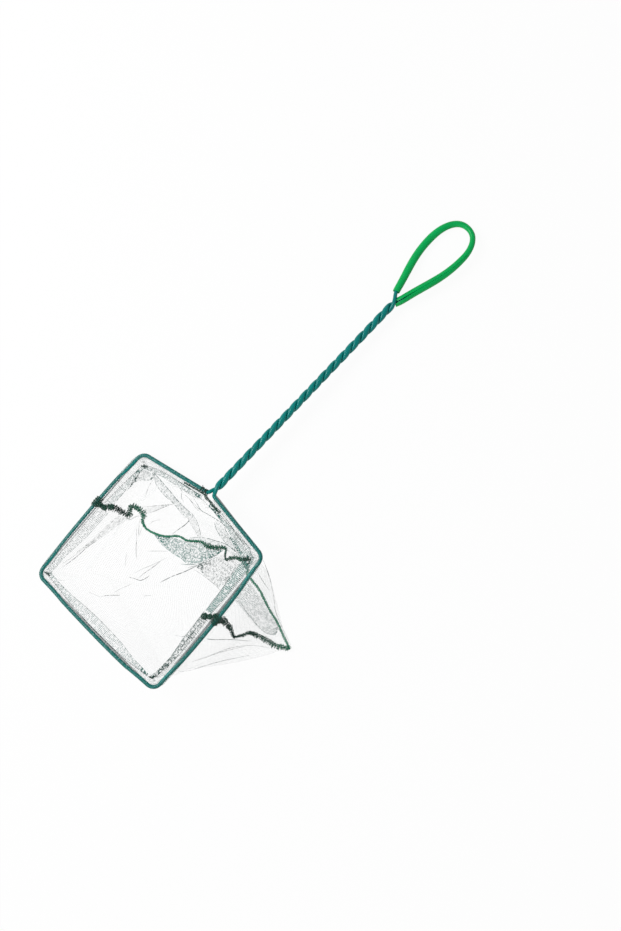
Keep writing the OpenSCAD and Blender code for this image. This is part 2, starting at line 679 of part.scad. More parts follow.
// Sheet of even thickness over a grid of middle points, with the netting's openings between its
// bars. The cells of the hem rows beside the column gap_i are left out, where the wire leaves
// the hem at the neck, and the netting below them is whole.
// Columns wider than this share of a bar are openings
bar_limit_share = 1.3;
function unit_or_zero(v) = norm(v) > 0 ? unit(v) : v;
function sheet_normal(grid, i, j) =
    let (
        n = len(grid) - 1,
        m = len(grid[0]) - 1,
        p = grid[i][j],
        along = unit_or_zero(grid[min(i + 1, n)][j] - p) + unit_or_zero(p - grid[max(i - 1, 0)][j]),
        down = unit_or_zero(grid[i][min(j + 1, m)] - p) + unit_or_zero(p - grid[i][max(j - 1, 0)])
    )
    unit(cross(along, down));
function sheet_face(grid, side) = [for (i = [0:len(grid) - 1], j = [0:len(grid[0]) - 1])
    grid[i][j] + sheet_normal(grid, i, j) * side * netting_t / 2];
module sheet(grid, line, gap_i) {
    n = len(grid) - 1;
    m = len(grid[0]) - 1;
    row = m + 1;
    total = (n + 1) * row;
    function by_gap(i) = i == gap_i || i == gap_i - 1;
    function is_open(i, j) = j >= hem_rows - 1 && (j - hem_rows + 1) % (open_rows + 1) < open_rows
        && norm(line[i + 1] - line[i]) > net_bar * bar_limit_share;
    function kept(i, j) = i >= 0 && i < n && j >= 0 && j < m
        && (by_gap(i) ? j >= hem_rows - 1 : !is_open(i, j));
    function at_top(i, j) = i * row + j;
    function wall(a, b) = [[a, b, b + total], [a, b + total, a + total]];
    polyhedron(
        points = concat(sheet_face(grid, 1), sheet_face(grid, -1)),
        faces = [for (i = [0:n - 1], j = [0:m - 1])
            if (kept(i, j))
                let (
                    a = at_top(i, j),
                    b = at_top(i + 1, j),
                    c = at_top(i + 1, j + 1),
                    d = at_top(i, j + 1)
                )
                each concat(
                    [[a, d, c], [a, c, b]],
                    [[a + total, b + total, c + total], [a + total, c + total, d + total]],
                    kept(i, j - 1) ? [] : wall(a, b),
                    kept(i, j + 1) ? [] : wall(c, d),
                    kept(i - 1, j) ? [] : wall(d, a),
                    kept(i + 1, j) ? [] : wall(b, c))]);
}

module handle_side_panel() color([0.72, 0.8, 0.79])
    centred() sheet(near_grid, near_line, neck_index);

module far_side_panel() color([0.66, 0.76, 0.75])
    centred() sheet(far_grid, far_line, -2);

// Thread that closes the hem, lying on its upper layer along the stitches
thread_up = hem_lay + netting_t / 2 + netting_clear / 2 + thread_r;
function stitch_line(line, first, last, side) = [for (i = [first:last])
    line[i] + cross(heading(line, i), up) * side * hem_stitch + up * thread_up];
stitch_lines = [
    stitch_line(near_line, 0, neck_index - 1, 1),
    stitch_line(near_line, neck_index + 1, len(near_line) - 1, 1),
    stitch_line(far_line, 0, len(far_line) - 1, -1)];

module hem_stitching() color([0.2, 0.24, 0.24])
    centred() for (line = stitch_lines) rod(flat_rings(line, thread_r, thread_sides), thread_sides);

// Rings round a line that is already laid, turned like its panel edges
function laid_rings(line, first, r, sides) =
    let (carry = carried(line, first))
    [for (i = [0:len(line) - 1])
        let (over = cross(heading(line, i), carry[i]))
        [for (k = [0:sides - 1])
            let (a = 360 * k / sides)
            line[i] + (carry[i] * cos(a) + over * sin(a)) * r]];

// Seam wound over the hem: an open band round the wire, along way, with inward to its opening
wrap_open_angle = 66;
wrap_arc_steps = 8;
function wrap_ring(c, inward) = [for (wall = [0, 1], k = [0:wrap_arc_steps])
    let (
        share = (wall == 0 ? k : wrap_arc_steps - k) / wrap_arc_steps,
        a = lerp(wrap_open_angle, 360 - wrap_open_angle, share),
        r = wall == 0 ? wrap_out_r : wrap_out_r - wrap_t
    )
    laid(c + (inward * cos(a) + up * sin(a)) * r)];
wrap_points = 2 * (wrap_arc_steps + 1);
function wrap_end(start, flip) = [for (k = [0:wrap_arc_steps - 1])
    let (
        a = start + k,
        b = start + k + 1,
        c = start + wrap_points - 2 - k,
        d = start + wrap_points - 1 - k
    )
    each flip ? [[a, c, b], [a, d, c]] : [[a, b, c], [a, c, d]]];
module wrap(foot, way, inward) {
    rings = [for (end = [-1, 1]) wrap_ring(foot + way * end * wrap_len / 2, inward)];
    polyhedron(
        points = flatten(rings),
        faces = concat(skin_faces(2, wrap_points, 0, false), wrap_end(0, false),
            wrap_end(wrap_points, true)));
}

module left_side_seam() color([0.05, 0.3, 0.2]) centred() {
    rod(laid_rings(left_seam_line, left_ahead, side_seam_r, seam_sides), seam_sides);
    wrap(left_seam_foot, cross(left_side_in, up), left_side_in);
}

module right_side_seam() color([0.05, 0.3, 0.2]) centred() {
    rod(laid_rings(right_seam_line, right_ahead, side_seam_r, seam_sides), seam_sides);
    wrap(right_seam_foot, cross(right_side_in, up), right_side_in);
}

// The bottom seam stops a little short at both ends, where the side seams lie against it
bottom_trim_share = 0.9;
bottom_last = len(bottom_line) - 1;
bottom_seam_line = concat(
    [lerp(bottom_line[0], bottom_line[1], bottom_trim_share)],
    span(bottom_line, 1, bottom_last - 1),
    [lerp(bottom_line[bottom_last], bottom_line[bottom_last - 1], bottom_trim_share)]);

module bottom_seam() color([0.12, 0.5, 0.32])
    centred() rod(laid_rings(bottom_seam_line, bottom_ahead, bottom_seam_r, seam_sides), seam_sides);

// Tacking at the neck: two turns of thread round the left leg of the hoop, beside the hem
tack_leg = unit(near_left - left_leg_foot);
tack_ring_r = wire_r + netting_clear / 2 + tack_r;
tack_pitch = tack_d + netting_clear / 2;
tack_turns = 2;

module neck_tacking() color([0.1, 0.14, 0.14])
    centred() translate([0, 0, lift]) rotate([0, dip, 0]) rotate([-lean, 0, 0])
        for (k = [1:tack_turns])
            translate(left_hem_end - tack_leg * tack_pitch * k)
                rotate([0, 0, atan2(tack_leg.y, tack_leg.x)])
                    rotate([0, 90, 0])
                        rotate_extrude($fn = 24)
                            translate([tack_ring_r, 0])
                                circle(r = tack_r, $fn = 16);

// Middle of the outline on the table
outline_points = concat(
    flatten(sleeve_rings),
    flatten([for (grid = [near_grid, far_grid], side = [-1, 1]) sheet_face(grid, side)]),
    flatten([for (wall = [-1, 1]) wrap_ring(left_seam_foot, left_side_in)]));
lowest = [min([for (p = outline_points) p.x]), min([for (p = outline_points) p.y])];
highest = [max([for (p = outline_points) p.x]), max([for (p = outline_points) p.y])];
middle = (lowest + highest) / 2;

wire_core();
wire_coating();
grip_sleeve();
handle_side_panel();
far_side_panel();
hem_stitching();
left_side_seam();
right_side_seam();
bottom_seam();
neck_tacking();
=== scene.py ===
# %% [markdown]
# Aquarium fish net, as it lies on a table.

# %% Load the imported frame
import math
import random

import bmesh
import bpy
import numpy as np
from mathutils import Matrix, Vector
from mathutils.bvhtree import BVHTree


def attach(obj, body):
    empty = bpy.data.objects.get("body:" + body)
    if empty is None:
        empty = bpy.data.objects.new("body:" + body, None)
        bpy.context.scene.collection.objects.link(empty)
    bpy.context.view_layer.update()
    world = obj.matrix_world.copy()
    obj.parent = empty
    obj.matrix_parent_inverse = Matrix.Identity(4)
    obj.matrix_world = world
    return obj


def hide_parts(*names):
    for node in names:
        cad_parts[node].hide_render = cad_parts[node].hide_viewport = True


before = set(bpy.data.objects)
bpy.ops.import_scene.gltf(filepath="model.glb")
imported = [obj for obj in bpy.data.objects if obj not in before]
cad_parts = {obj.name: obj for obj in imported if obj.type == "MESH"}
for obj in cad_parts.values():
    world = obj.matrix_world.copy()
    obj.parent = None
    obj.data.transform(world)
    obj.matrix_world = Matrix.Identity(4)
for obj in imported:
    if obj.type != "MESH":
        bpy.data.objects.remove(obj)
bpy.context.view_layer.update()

# %% [markdown]
# The camera looks straight down, as the photograph does, from 0.9 m above the table. Its lens
# and its turn about the vertical come from the length and the slope of the handle in the
# picture, whose frame is 621 by 931 pixels. It is made first, so that every piece can be
# judged through it.

# %% Camera
MM = 0.001
CAMERA_HEIGHT = 900 * MM
CAMERA_PLACE = (-6.34 * MM, -8.08 * MM)
HANDLE_SLOPE = math.atan2(0.7245, 0.689)
SENSOR, LENS = 36, 44.05

camera_data = bpy.data.cameras.new("camera")
camera_data.sensor_fit = "VERTICAL"
camera_data.sensor_height = SENSOR
camera_data.lens = LENS
camera = bpy.data.objects.new("camera", camera_data)
camera.location = (*CAMERA_PLACE, CAMERA_HEIGHT)
camera.rotation_euler = (0, 0, -HANDLE_SLOPE)
bpy.context.scene.collection.objects.link(camera)
bpy.context.scene.camera = camera
bpy.context.scene.view_settings.view_transform = "Standard"
print("Camera at", tuple(camera.location))

# %% [markdown]
# Every material is a small tree of nodes. One function adds a node, sets it up and links it,
# and one turns the sRGB colour that the eye reads off the object into the linear colour that
# the renderer works with. Three more make what every material here needs: a mix of two
# colours, a noise whose size is given in millimetres, and a change of range.

# %% Colours and nodes
def linear(colour):
    """The linear colour of an sRGB hex code."""
    parts = [int(colour[i:i + 2], 16) / 255 for i in (1, 3, 5)]
    return (*[p / 12.92 if p <= 0.04045 else ((p + 0.055) / 1.055) ** 2.4 for p in parts], 1)


def node(tree, kind, settings=None, values=None, links=None):
    """A node of that kind, with its settings, socket values and links into its sockets."""
    made = tree.nodes.new(kind)
    for name, value in (settings or {}).items():
        setattr(made, name, value)
    for name, value in (values or {}).items():
        made.inputs[name].default_value = value
    for name, source in (links or {}).items():
        tree.links.new(source, made.inputs[name])
    return made


def material(name, values):
    """A new material, its tree and its surface shader, with those values in its sockets."""
    made = bpy.data.materials.new(name)
    made.use_nodes = True
    shader = made.node_tree.nodes["Principled BSDF"]
    for socket, value in values.items():
        shader.inputs[socket].default_value = value
    return made, made.node_tree, shader


def blend(tree, share, first, second):
    """A mix of two colours by a share. Each is a hex code or the output of a node."""
    made = node(tree, "ShaderNodeMix", {"data_type": "RGBA"}, links={0: share})
    for socket, colour in ((6, first), (7, second)):
        if isinstance(colour, str):
            made.inputs[socket].default_value = linear(colour)
        else:
            tree.links.new(colour, made.inputs[socket])
    return made.outputs[2]


def noise(tree, size, detail):
    """Noise that is fixed to the object, in patches of about that many millimetres."""
    place = node(tree, "ShaderNodeTexCoord")
    return node(tree, "ShaderNodeTexNoise", values={"Scale": 1 / (size * MM), "Detail": detail},
                links={"Vector": place.outputs["Object"]}).outputs["Fac"]


def ranged(tree, source, low, high, start=0.0, end=1.0):
    """What runs from start to end, stretched to run from low to high."""
    return node(tree, "ShaderNodeMapRange", values={
        "From Min": start, "From Max": end, "To Min": low, "To Max": high},
        links={"Value": source}).outputs[0]


# %% [markdown]
# The studio is a white sweep of paper under soft light. The paper glows a little for the
# camera and for reflections, so that it reads as the picture's white ground, but it still
# takes the net's soft shadow. The lamps are weak: a colour renders about as it is written.

# %% Floor, world and lamps
PAPER_GLOW = 0.94
FLOOR_SIZE, FLOOR_DROP = 6, 0.05 * MM
SKY_LEVEL, SKY_TOP = 0.65, 0.24


def paper():
    """Paper that glows for the camera, and in what mirrors it or lets it through."""
    made, tree, shader = material("matt white paper", {"Base Color": linear("#FAFAFA"),
                                                       "Roughness": 0.9})
    path = node(tree, "ShaderNodeLightPath")
    seen = path.outputs["Is Camera Ray"]
    for ray in ("Is Glossy Ray", "Is Transmission Ray"):
        seen = node(tree, "ShaderNodeMath", {"operation": "MAXIMUM"},
                    links={0: seen, 1: path.outputs[ray]}).outputs[0]
    share = node(tree, "ShaderNodeMath", {"operation": "MULTIPLY"}, {1: PAPER_GLOW}, {0: seen})
    glow = node(tree, "ShaderNodeEmission", values={"Strength": 1.0})
    mix = node(tree, "ShaderNodeMixShader",
               links={0: share.outputs[0], 1: shader.outputs[0], 2: glow.outputs[0]})
    tree.links.new(mix.outputs[0], tree.nodes["Material Output"].inputs["Surface"])
    return made


floor_mesh = bpy.data.meshes.new("floor")
floor_shape = bmesh.new()
bmesh.ops.create_grid(floor_shape, x_segments=1, y_segments=1, size=FLOOR_SIZE)
floor_shape.to_mesh(floor_mesh)
floor_mesh.materials.append(paper())
floor = bpy.data.objects.new("floor", floor_mesh)
floor.location.z = -FLOOR_DROP
bpy.context.scene.collection.objects.link(floor)

world = bpy.data.worlds.new("studio")
bpy.context.scene.world = world
world.use_nodes = True
sky_tree = world.node_tree
sky = sky_tree.nodes["Background"]
sky.inputs["Color"].default_value = linear("#FFFFFF")
rise = node(sky_tree, "ShaderNodeSeparateXYZ",
            links={0: node(sky_tree, "ShaderNodeTexCoord").outputs["Generated"]})
sky_tree.links.new(ranged(sky_tree, rise.outputs["Z"], SKY_LEVEL, SKY_TOP),
                   sky.inputs["Strength"])


def lamp(name, place, size, power):
    """A square lamp that shines on the origin: metres and watts."""
    data = bpy.data.lights.new(name, "AREA")
    data.size = size
    data.energy = power
    made = bpy.data.objects.new(name, data)
    made.location = place
    x, y, z = -np.array(place)
    made.rotation_euler = (math.atan2(math.hypot(x, y), -z), 0, math.atan2(y, x) - math.pi / 2)
    bpy.context.scene.collection.objects.link(made)


lamp("key lamp", (-0.42, 0.92, 1.05), 0.7, 13.5)
lamp("fill lamp", (-0.9, -0.5, 1.1), 1.2, 3.0)
print("Studio ready")

# %% [markdown]
# The net is drawn flat, in millimetres, with the neck at zero and X along the handle, and then
# laid on the table, as the CAD source does. A few helpers carry this: unit vectors, round
# bends, smooth curves with given headings, and a smooth line through listed points.

# %% Lines in millimetres
UP = np.array([0.0, 0.0, 1.0])


def vec(*numbers):
    return np.array(numbers, dtype=float)


def unit(v):
    v = np.asarray(v, dtype=float)
    return v / np.maximum(np.linalg.norm(v, axis=-1, keepdims=True), 1e-12)


def lerp(a, b, t):
    return a * (1 - t) + b * t


def headings(line):
    ahead = np.vstack([line[1:], line[-1:]]) - np.vstack([line[:1], line[:-1]])
    return unit(ahead)


def bend(a, b, c, r, steps):
    """Round bend of radius r at corner b, on the way from a to c."""
    to_a, to_c = unit(a - b), unit(c - b)
    half = math.acos(float(to_a @ to_c)) / 2
    centre = b + unit(to_a + to_c) * r / math.sin(half)
    first = b + to_a * r / math.tan(half) - centre
    last = b + to_c * r / math.tan(half) - centre
    turn = math.pi - 2 * half
    return np.array([centre + (first * math.sin(turn * (1 - t)) + last * math.sin(turn * t))
                     / math.sin(turn) for t in np.linspace(0, 1, steps + 1)])


def curve(a, from_dir, b, to_dir, pull, steps):
    """Smooth curve from a to b with those headings, with its first point."""
    h1 = a + from_dir * abs((b - a) @ from_dir) * pull
    h2 = b - to_dir * abs((b - a) @ to_dir) * pull
    t = np.linspace(0, 1, steps + 1)[:, None]
    k = 1 - t
    return a * k ** 3 + h1 * 3 * k * k * t + h2 * 3 * k * t * t + b * t ** 3


def through(points, steps):
    """Smooth line through listed points."""
    p = [np.asarray(q, dtype=float) for q in points]
    made = []
    for i in range(len(p) - 1):
        p0, p1, p2, p3 = p[max(i - 1, 0)], p[i], p[i + 1], p[min(i + 2, len(p) - 1)]
        for t in np.arange(steps) / steps:
            made.append((p1 * 2 + (p2 - p0) * t + (p0 * 2 - p1 * 5 + p2 * 4 - p3) * t * t
                         + (p1 * 3 - p0 - p2 * 3 + p3) * t ** 3) / 2)
    return np.array(made + [p[-1]])


def run(line):
    """Lengths along a line at each of its points, from zero."""
    return np.concatenate([[0], np.cumsum(np.linalg.norm(np.diff(line, axis=0), axis=1))])


def shares_along(line):
    return run(line) / run(line)[-1]


def sampled(line, marks):
    """A line's points at lengths along it, with what they carry besides their place."""
    along = run(line[:, :3])
    return np.column_stack([np.interp(marks, along, column) for column in line.T])


def even(line, steps):
    """The same line drawn with even steps."""
    return sampled(line, np.linspace(0, run(line[:, :3])[-1], steps + 1))


def at(line, share):
    """Points of a line at shares of its count of steps."""
    where = np.asarray(share) * (len(line) - 1)
    return np.stack([np.interp(where, np.arange(len(line)), line[:, k]) for k in range(3)], -1)


# %% [markdown]
# The hoop and the handle are one wire: its sizes are the CAD source's own. The wire runs from
# its cut end in the grip loop down the twist, round the hoop, and back up the twist. Three
# sides of the hoop bow out a little, as they do in the picture.

# %% The wire's route, flat
WIRE_R = 1.55
STRAND_R = 1.6
CORNER_R, CORNER_STEPS = 7, 10
NECK_LEAD, TWIST_LEN, HALF_TURNS = 5.8, 200, 19
PITCH = 2 * TWIST_LEN / HALF_TURNS
TWIST_START, TWIST_END = NECK_LEAD - PITCH / 8, NECK_LEAD + TWIST_LEN
LOOP_LEN, LOOP_LEFT, LOOP_RIGHT = 82.8, 14.8, 15.6
TIP_ASIDE, CUT_END_GAP = 0.03, 0.8
LEG_END = 3.2
SIDE_POINTS, EASED_POINTS = 26, 5
LEFT_BOW, FAR_BOW, RIGHT_BOW = (2.0, 0.42), (2.2, 0.6), (2.6, 0.5)
near_left, far_left = vec(-15.2, 63.4, 0), vec(-139.6, 56.4, 0)
far_right, near_right = vec(-138.2, -73.9, 0), vec(-8, -63.9, 0)
left_foot, right_foot = vec(-2.0436, 3.0654, 0), vec(-0.9, -2.7, 0)


def bowed(a, b, out, peak, shares):
    """Points at shares of the side from a to b, which bows out and is widest at peak."""
    t = np.asarray(shares, dtype=float)[..., None]
    swell = (t / peak) ** (2 * peak) * ((1 - t) / (1 - peak)) ** (2 - 2 * peak)
    return a * (1 - t) + b * t + unit(np.cross(b - a, UP)) * out * swell


def side_line(a, b, out, peak):
    """The part of a bowed side between its round bends, which it meets straight."""
    trim = CORNER_R / np.linalg.norm(b - a)
    t = np.linspace(trim, 1 - trim, SIDE_POINTS)
    count = np.arange(SIDE_POINTS)
    ease = np.minimum(1, np.minimum(count, count[::-1]) / EASED_POINTS)[:, None]
    return lerp(lerp(a, b, t[:, None]), bowed(a, b, out, peak, t), ease)[1:-1]


def winding(x, side):
    """The angle at which a strand stands round the handle's axis."""
    return np.radians(-90 * side - 360 * (np.asarray(x) - NECK_LEAD) / PITCH)


def strand_at(x, side):
    """A point of a strand's middle line."""
    a = winding(x, side)
    return np.stack([x + 0 * a, STRAND_R * np.cos(a), STRAND_R * np.sin(a)], -1)


def strand_dir(x, side):
    """The strand's heading there."""
    a = winding(x, side)
    rise = 2 * math.pi * STRAND_R / PITCH
    return unit([1, math.sin(a) * rise, -math.cos(a) * rise])


ahead, left = vec(1, 0, 0), vec(0, 1, 0)
loop_tip = vec(TWIST_END + LOOP_LEN, -TIP_ASIDE * (LOOP_LEFT + LOOP_RIGHT), 0)


def loop_leg(side, root_shares, wide, wide_share, slope):
    """One strand from the last crossing to its cut end at the loop's far end."""
    root = vec(TWIST_END + root_shares[0] * LOOP_LEN, side * root_shares[1] * wide, 0)
    root_dir = unit([1, side * slope, 0])
    widest = vec(TWIST_END + wide_share * LOOP_LEN, side * wide, 0)
    cut_end = loop_tip + left * side * CUT_END_GAP / 2
    split = curve(strand_at(TWIST_END, side), strand_dir(TWIST_END, side), root, root_dir, 0.4, 14)
    leg = curve(root, root_dir, widest, ahead, 0.4, 30)
    end = curve(widest, ahead, cut_end, -left * side, 0.6, 26)
    return np.vstack([split, leg[1:], end[1:]])


def half_wire(side, foot, corner, loop):
    """Half of the wire, from its leg at the neck through the twist to its cut end."""
    leg_end = foot + unit(corner - foot) * LEG_END
    neck = curve(leg_end, unit(foot - corner),
                 strand_at(TWIST_START, side), strand_dir(TWIST_START, side), 0.75, 14)
    twist = strand_at(np.linspace(TWIST_START, TWIST_END, 300), side)
    return np.vstack([neck, twist[1:], loop[1:]])


left_loop = loop_leg(1, (0.115, 0.37), LOOP_LEFT, 0.68, 0.24)
right_loop = loop_leg(-1, (0.1, 0.235), LOOP_RIGHT, 0.75, 0.27)
stops = [left_foot, near_left, far_left, far_right, near_right, right_foot]
near_left_bend, far_left_bend, far_right_bend, near_right_bend = (
    bend(a, b, c, CORNER_R, CORNER_STEPS) for a, b, c in zip(stops, stops[1:], stops[2:]))
far_side = side_line(far_left, far_right, *FAR_BOW)
wire_line = np.vstack([
    half_wire(1, left_foot, near_left, left_loop)[::-1],
    near_left_bend, side_line(near_left, far_left, *LEFT_BOW), far_left_bend, far_side,
    far_right_bend, side_line(far_right, near_right, *RIGHT_BOW), near_right_bend,
    half_wire(-1, right_foot, near_right, right_loop)])
print("Wire length", round(float(run(wire_line)[-1])), "mm")

# %% [markdown]
# The flat net is then leaned: it rests on its near left corner and on the end of the loop,
# with the right side of the hoop raised. The same turn and lift apply to every piece.

# %% Laying the flat net on the table
LEAN, DIP, LIFT = math.radians(11.4), math.radians(2.31127), 16.4133
MIDDLE = vec(74.4933, -32.3696, 0)


def leaned(p):
    p = np.asarray(p, dtype=float)
    y = p[..., 1] * math.cos(LEAN) + p[..., 2] * math.sin(LEAN)
    z = p[..., 2] * math.cos(LEAN) - p[..., 1] * math.sin(LEAN)
    x = p[..., 0]
    return np.stack([x * math.cos(DIP) + z * math.sin(DIP), y,
                     z * math.cos(DIP) - x * math.sin(DIP)], -1)


def laid(p):
    return leaned(p) + UP * LIFT


# %% [markdown]
# All new pieces start as a flat grid from one bmesh operator, whose points are then moved
# into place: a sheet keeps its four edges, and a tube is a grid that is rolled up and welded
# along its long edge. The grid brings a UV map, so a pattern can follow the surface.

# %% Grids and tubes
def finish_piece(name, shape, finish, smooth=True):
    """An object at the origin from a bmesh, with its material, riding on the net's one body."""
    mesh = bpy.data.meshes.new(name)
    shape.to_mesh(mesh)
    shape.free()
    mesh.materials.append(finish)
    if smooth:
        mesh.shade_smooth()
    made = bpy.data.objects.new(name, mesh)
    bpy.context.scene.collection.objects.link(made)
    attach(made, "root")
    print(name, len(mesh.polygons), "faces")
    return made


def add_grid(shape, points, tone=None, green=None):
    """A grid in the bmesh at an array of points (rows, columns, 3) in mm, with its tones."""
    rows, columns = points.shape[:2]
    if not shape.loops.layers.uv:
        shape.loops.layers.uv.new("UVMap")
    if not shape.verts.layers.float:
        shape.verts.layers.float.new("tone")
        shape.verts.layers.float.new("green")
    made = bmesh.ops.create_grid(shape, x_segments=columns - 1, y_segments=rows - 1, size=0.5,
                                 calc_uvs=True)["verts"]
    for vert, place in zip(made, (points - MIDDLE).reshape(-1, 3) * MM):
        vert.co = place
    for name, values in (("tone", tone), ("green", green)):
        if values is not None:
            layer = shape.verts.layers.float[name]
            for vert, value in zip(made, np.broadcast_to(values, (rows, columns)).ravel()):
                vert[layer] = value
    return made


def add_tube(shape, rings, cap=True, tone=None, green=None):
    """Rings (count, sides, 3) rolled into a tube, its long edge welded, its ends closed."""
    closed = np.concatenate([rings, rings[:, :1]], axis=1)
    verts = add_grid(shape, closed, tone, green)
    sides = closed.shape[1]
    pairs = {verts[i * sides + sides - 1]: verts[i * sides] for i in range(len(rings))}
    bmesh.ops.weld_verts(shape, targetmap=pairs)
    kept = [v for v in verts if v.is_valid]
    if cap:
        ends = dict.fromkeys(e for v in kept for e in v.link_edges if e.is_boundary)
        bmesh.ops.edgeloop_fill(shape, edges=list(ends))
    faces = dict.fromkeys(f for v in kept for f in v.link_faces)
    bmesh.ops.recalc_face_normals(shape, faces=list(faces))
    return kept


def rings_round(line, radius, sides):
    """Rings round a line; radius is one number or one for each point."""
    line = line[:, :3]
    go = headings(line)
    aside = unit(np.cross(UP, go))
    over = np.cross(go, aside)
    turn = np.linspace(0, 2 * math.pi, sides, endpoint=False)
    r = np.broadcast_to(np.asarray(radius, dtype=float), (len(line),))[:, None, None]
    return (line[:, None] + r * (aside[:, None] * np.cos(turn)[None, :, None]
                                 + over[:, None] * np.sin(turn)[None, :, None]))


# %% [markdown]
# The wire is steel inside a skin of soft PVC, extruded round it: an even, waxy gloss, with a
# faint unevenness of colour in patches of about 14 mm where it was bent. The core stays as
# the CAD solid, in galvanised steel, which is grey and half matt, and only its cut ends
# inside the sleeve could ever be seen.

# %% Coated wire
PATCH = 14
SQUEEZE_OUT, SQUEEZE_ACROSS, SQUEEZE_EASE = 1.08, 1.5, 8
WIRE_SIDES = 20
COAT_WALL = 0.38


def plastic(name, colour, darker, roughness, ior, gleam):
    """Glossy plastic whose colour and gloss drift a little over the surface."""
    made, tree, shader = material(name, {"IOR": ior, "Specular IOR Level": gleam})
    drift = noise(tree, PATCH, 3.0)
    gloss = ranged(tree, drift, roughness - 0.06, roughness + 0.08)
    tree.links.new(blend(tree, drift, colour, darker), shader.inputs["Base Color"])
    tree.links.new(gloss, shader.inputs["Roughness"])
    return made


def squeezed(rings, line):
    """In the twist the soft skins press on each other, which spreads each round the axis."""
    x = line[:, 0]
    inside = (np.clip((x - TWIST_START) / SQUEEZE_EASE, 0, 1)
              * np.clip((TWIST_END - x) / SQUEEZE_EASE, 0, 1))
    share = (inside * inside * (3 - 2 * inside))[:, None, None]
    out = unit(line * vec(0, 1, 1))[:, None]
    across = unit(np.cross(headings(line)[:, None], out))
    step = rings - line[:, None]
    for way, factor in ((out, SQUEEZE_OUT), (across, SQUEEZE_ACROSS)):
        step = step + way * (step * way).sum(-1, keepdims=True) * share * (factor - 1)
    return line[:, None] + step


def add_wall(made, thickness):
    """A wall of that many millimetres, inwards from the surface."""
    wall = made.modifiers.new("wall", "SOLIDIFY")
    wall.thickness = thickness * MM
    wall.offset = -1


pvc = plastic("teal soft PVC, extruded", "#028A85", "#01706A", 0.26, 1.53, 0.24)
steel = material("galvanised steel wire", {"Base Color": linear("#B9BCBD"), "Metallic": 1.0,
                                           "Roughness": 0.4})[0]
core_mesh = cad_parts["wire_core"].data
core_mesh.materials.clear()
core_mesh.materials.append(steel)

wire_shape = bmesh.new()
wire_rings = squeezed(rings_round(wire_line, WIRE_R, WIRE_SIDES), wire_line)
add_tube(wire_shape, laid(wire_rings), cap=False)
coating = finish_piece("coated_wire", wire_shape, pvc)
add_wall(coating, COAT_WALL)
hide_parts("wire_coating")

# %% [markdown]
# The sleeve is a slit tube of harder green plastic, pushed over both legs of the loop. Its
# slit turns along the loop, and its right end gapes over the twist. It is a grid too: an arc
# swept along the loop, with its wall from a Solidify modifier and its rims rounded.

# %% Grip sleeve
SLEEVE_SHARES = [0, 0.12, 0.3, 0.42, 0.5, 0.54, 0.65, 0.8, 1]
SLEEVE_RADII = [2.8, 3.1, 3.1, 2.6, 2.2, 2.15, 2.7, 3.2, 3.35]
SLIT_SHARES, SLIT_TURNS = [0, 0.5, 0.62, 0.75, 1], [-90, 0, 60, 85, 78]
SLEEVE_LEFT_START, SLEEVE_RIGHT_START = 7.5, 0.3
SLEEVE_STEPS, SLEEVE_ARC = 150, 33
GAPE, END_GAPE, GAPE_SHARE = 1.5, 14, 0.14
LIP, FLATNESS = 0.07, 0.92
SLEEVE_WALL, SLEEVE_RIM = 0.6, 0.2


def from_x(line, x):
    """The line from where it first passes x."""
    first = int(np.argmax(line[:, 0] > x))
    share = (x - line[first - 1, 0]) / (line[first, 0] - line[first - 1, 0])
    return np.vstack([lerp(line[first - 1], line[first], share), line[first:]])


def sleeve_rings(line):
    """Arcs round the line from one lip of the slit to the other, which curls out a little."""
    share = shares_along(line)
    turn = np.radians(np.interp(share, SLIT_SHARES, SLIT_TURNS))
    gape = np.radians(GAPE + END_GAPE * np.maximum(0, 1 - (1 - share) / GAPE_SHARE) ** 2)
    radius = np.interp(share, SLEEVE_SHARES, SLEEVE_RADII)
    t = np.linspace(0, 1, SLEEVE_ARC)
    spread = (radius[:, None] * (1 + LIP * t ** 6))[..., None]
    aside = unit(np.cross(UP, headings(line)))
    over = np.cross(headings(line), aside)
    a = ((turn + gape)[:, None] + (2 * math.pi - 2 * gape)[:, None] * t)[..., None]
    return line[:, None] + spread * (aside[:, None] * np.cos(a)
                                     + over[:, None] * np.sin(a) * FLATNESS)


sleeve_line = even(np.vstack([from_x(left_loop, TWIST_END + SLEEVE_LEFT_START),
                              from_x(right_loop, TWIST_END + SLEEVE_RIGHT_START)[::-1]]),
                   SLEEVE_STEPS)
polythene = plastic("green polythene tube, extruded", "#00B45C", "#00A24E", 0.3, 1.51, 0.2)
sleeve_shape = bmesh.new()
add_grid(sleeve_shape, laid(sleeve_rings(sleeve_line)))
sleeve = finish_piece("grip_sleeve_tube", sleeve_shape, polythene)
add_wall(sleeve, SLEEVE_WALL)
rim = sleeve.modifiers.new("rim", "BEVEL")
rim.width = SLEEVE_RIM * MM
rim.segments = 2
rim.limit_method = "ANGLE"
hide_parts("grip_sleeve")
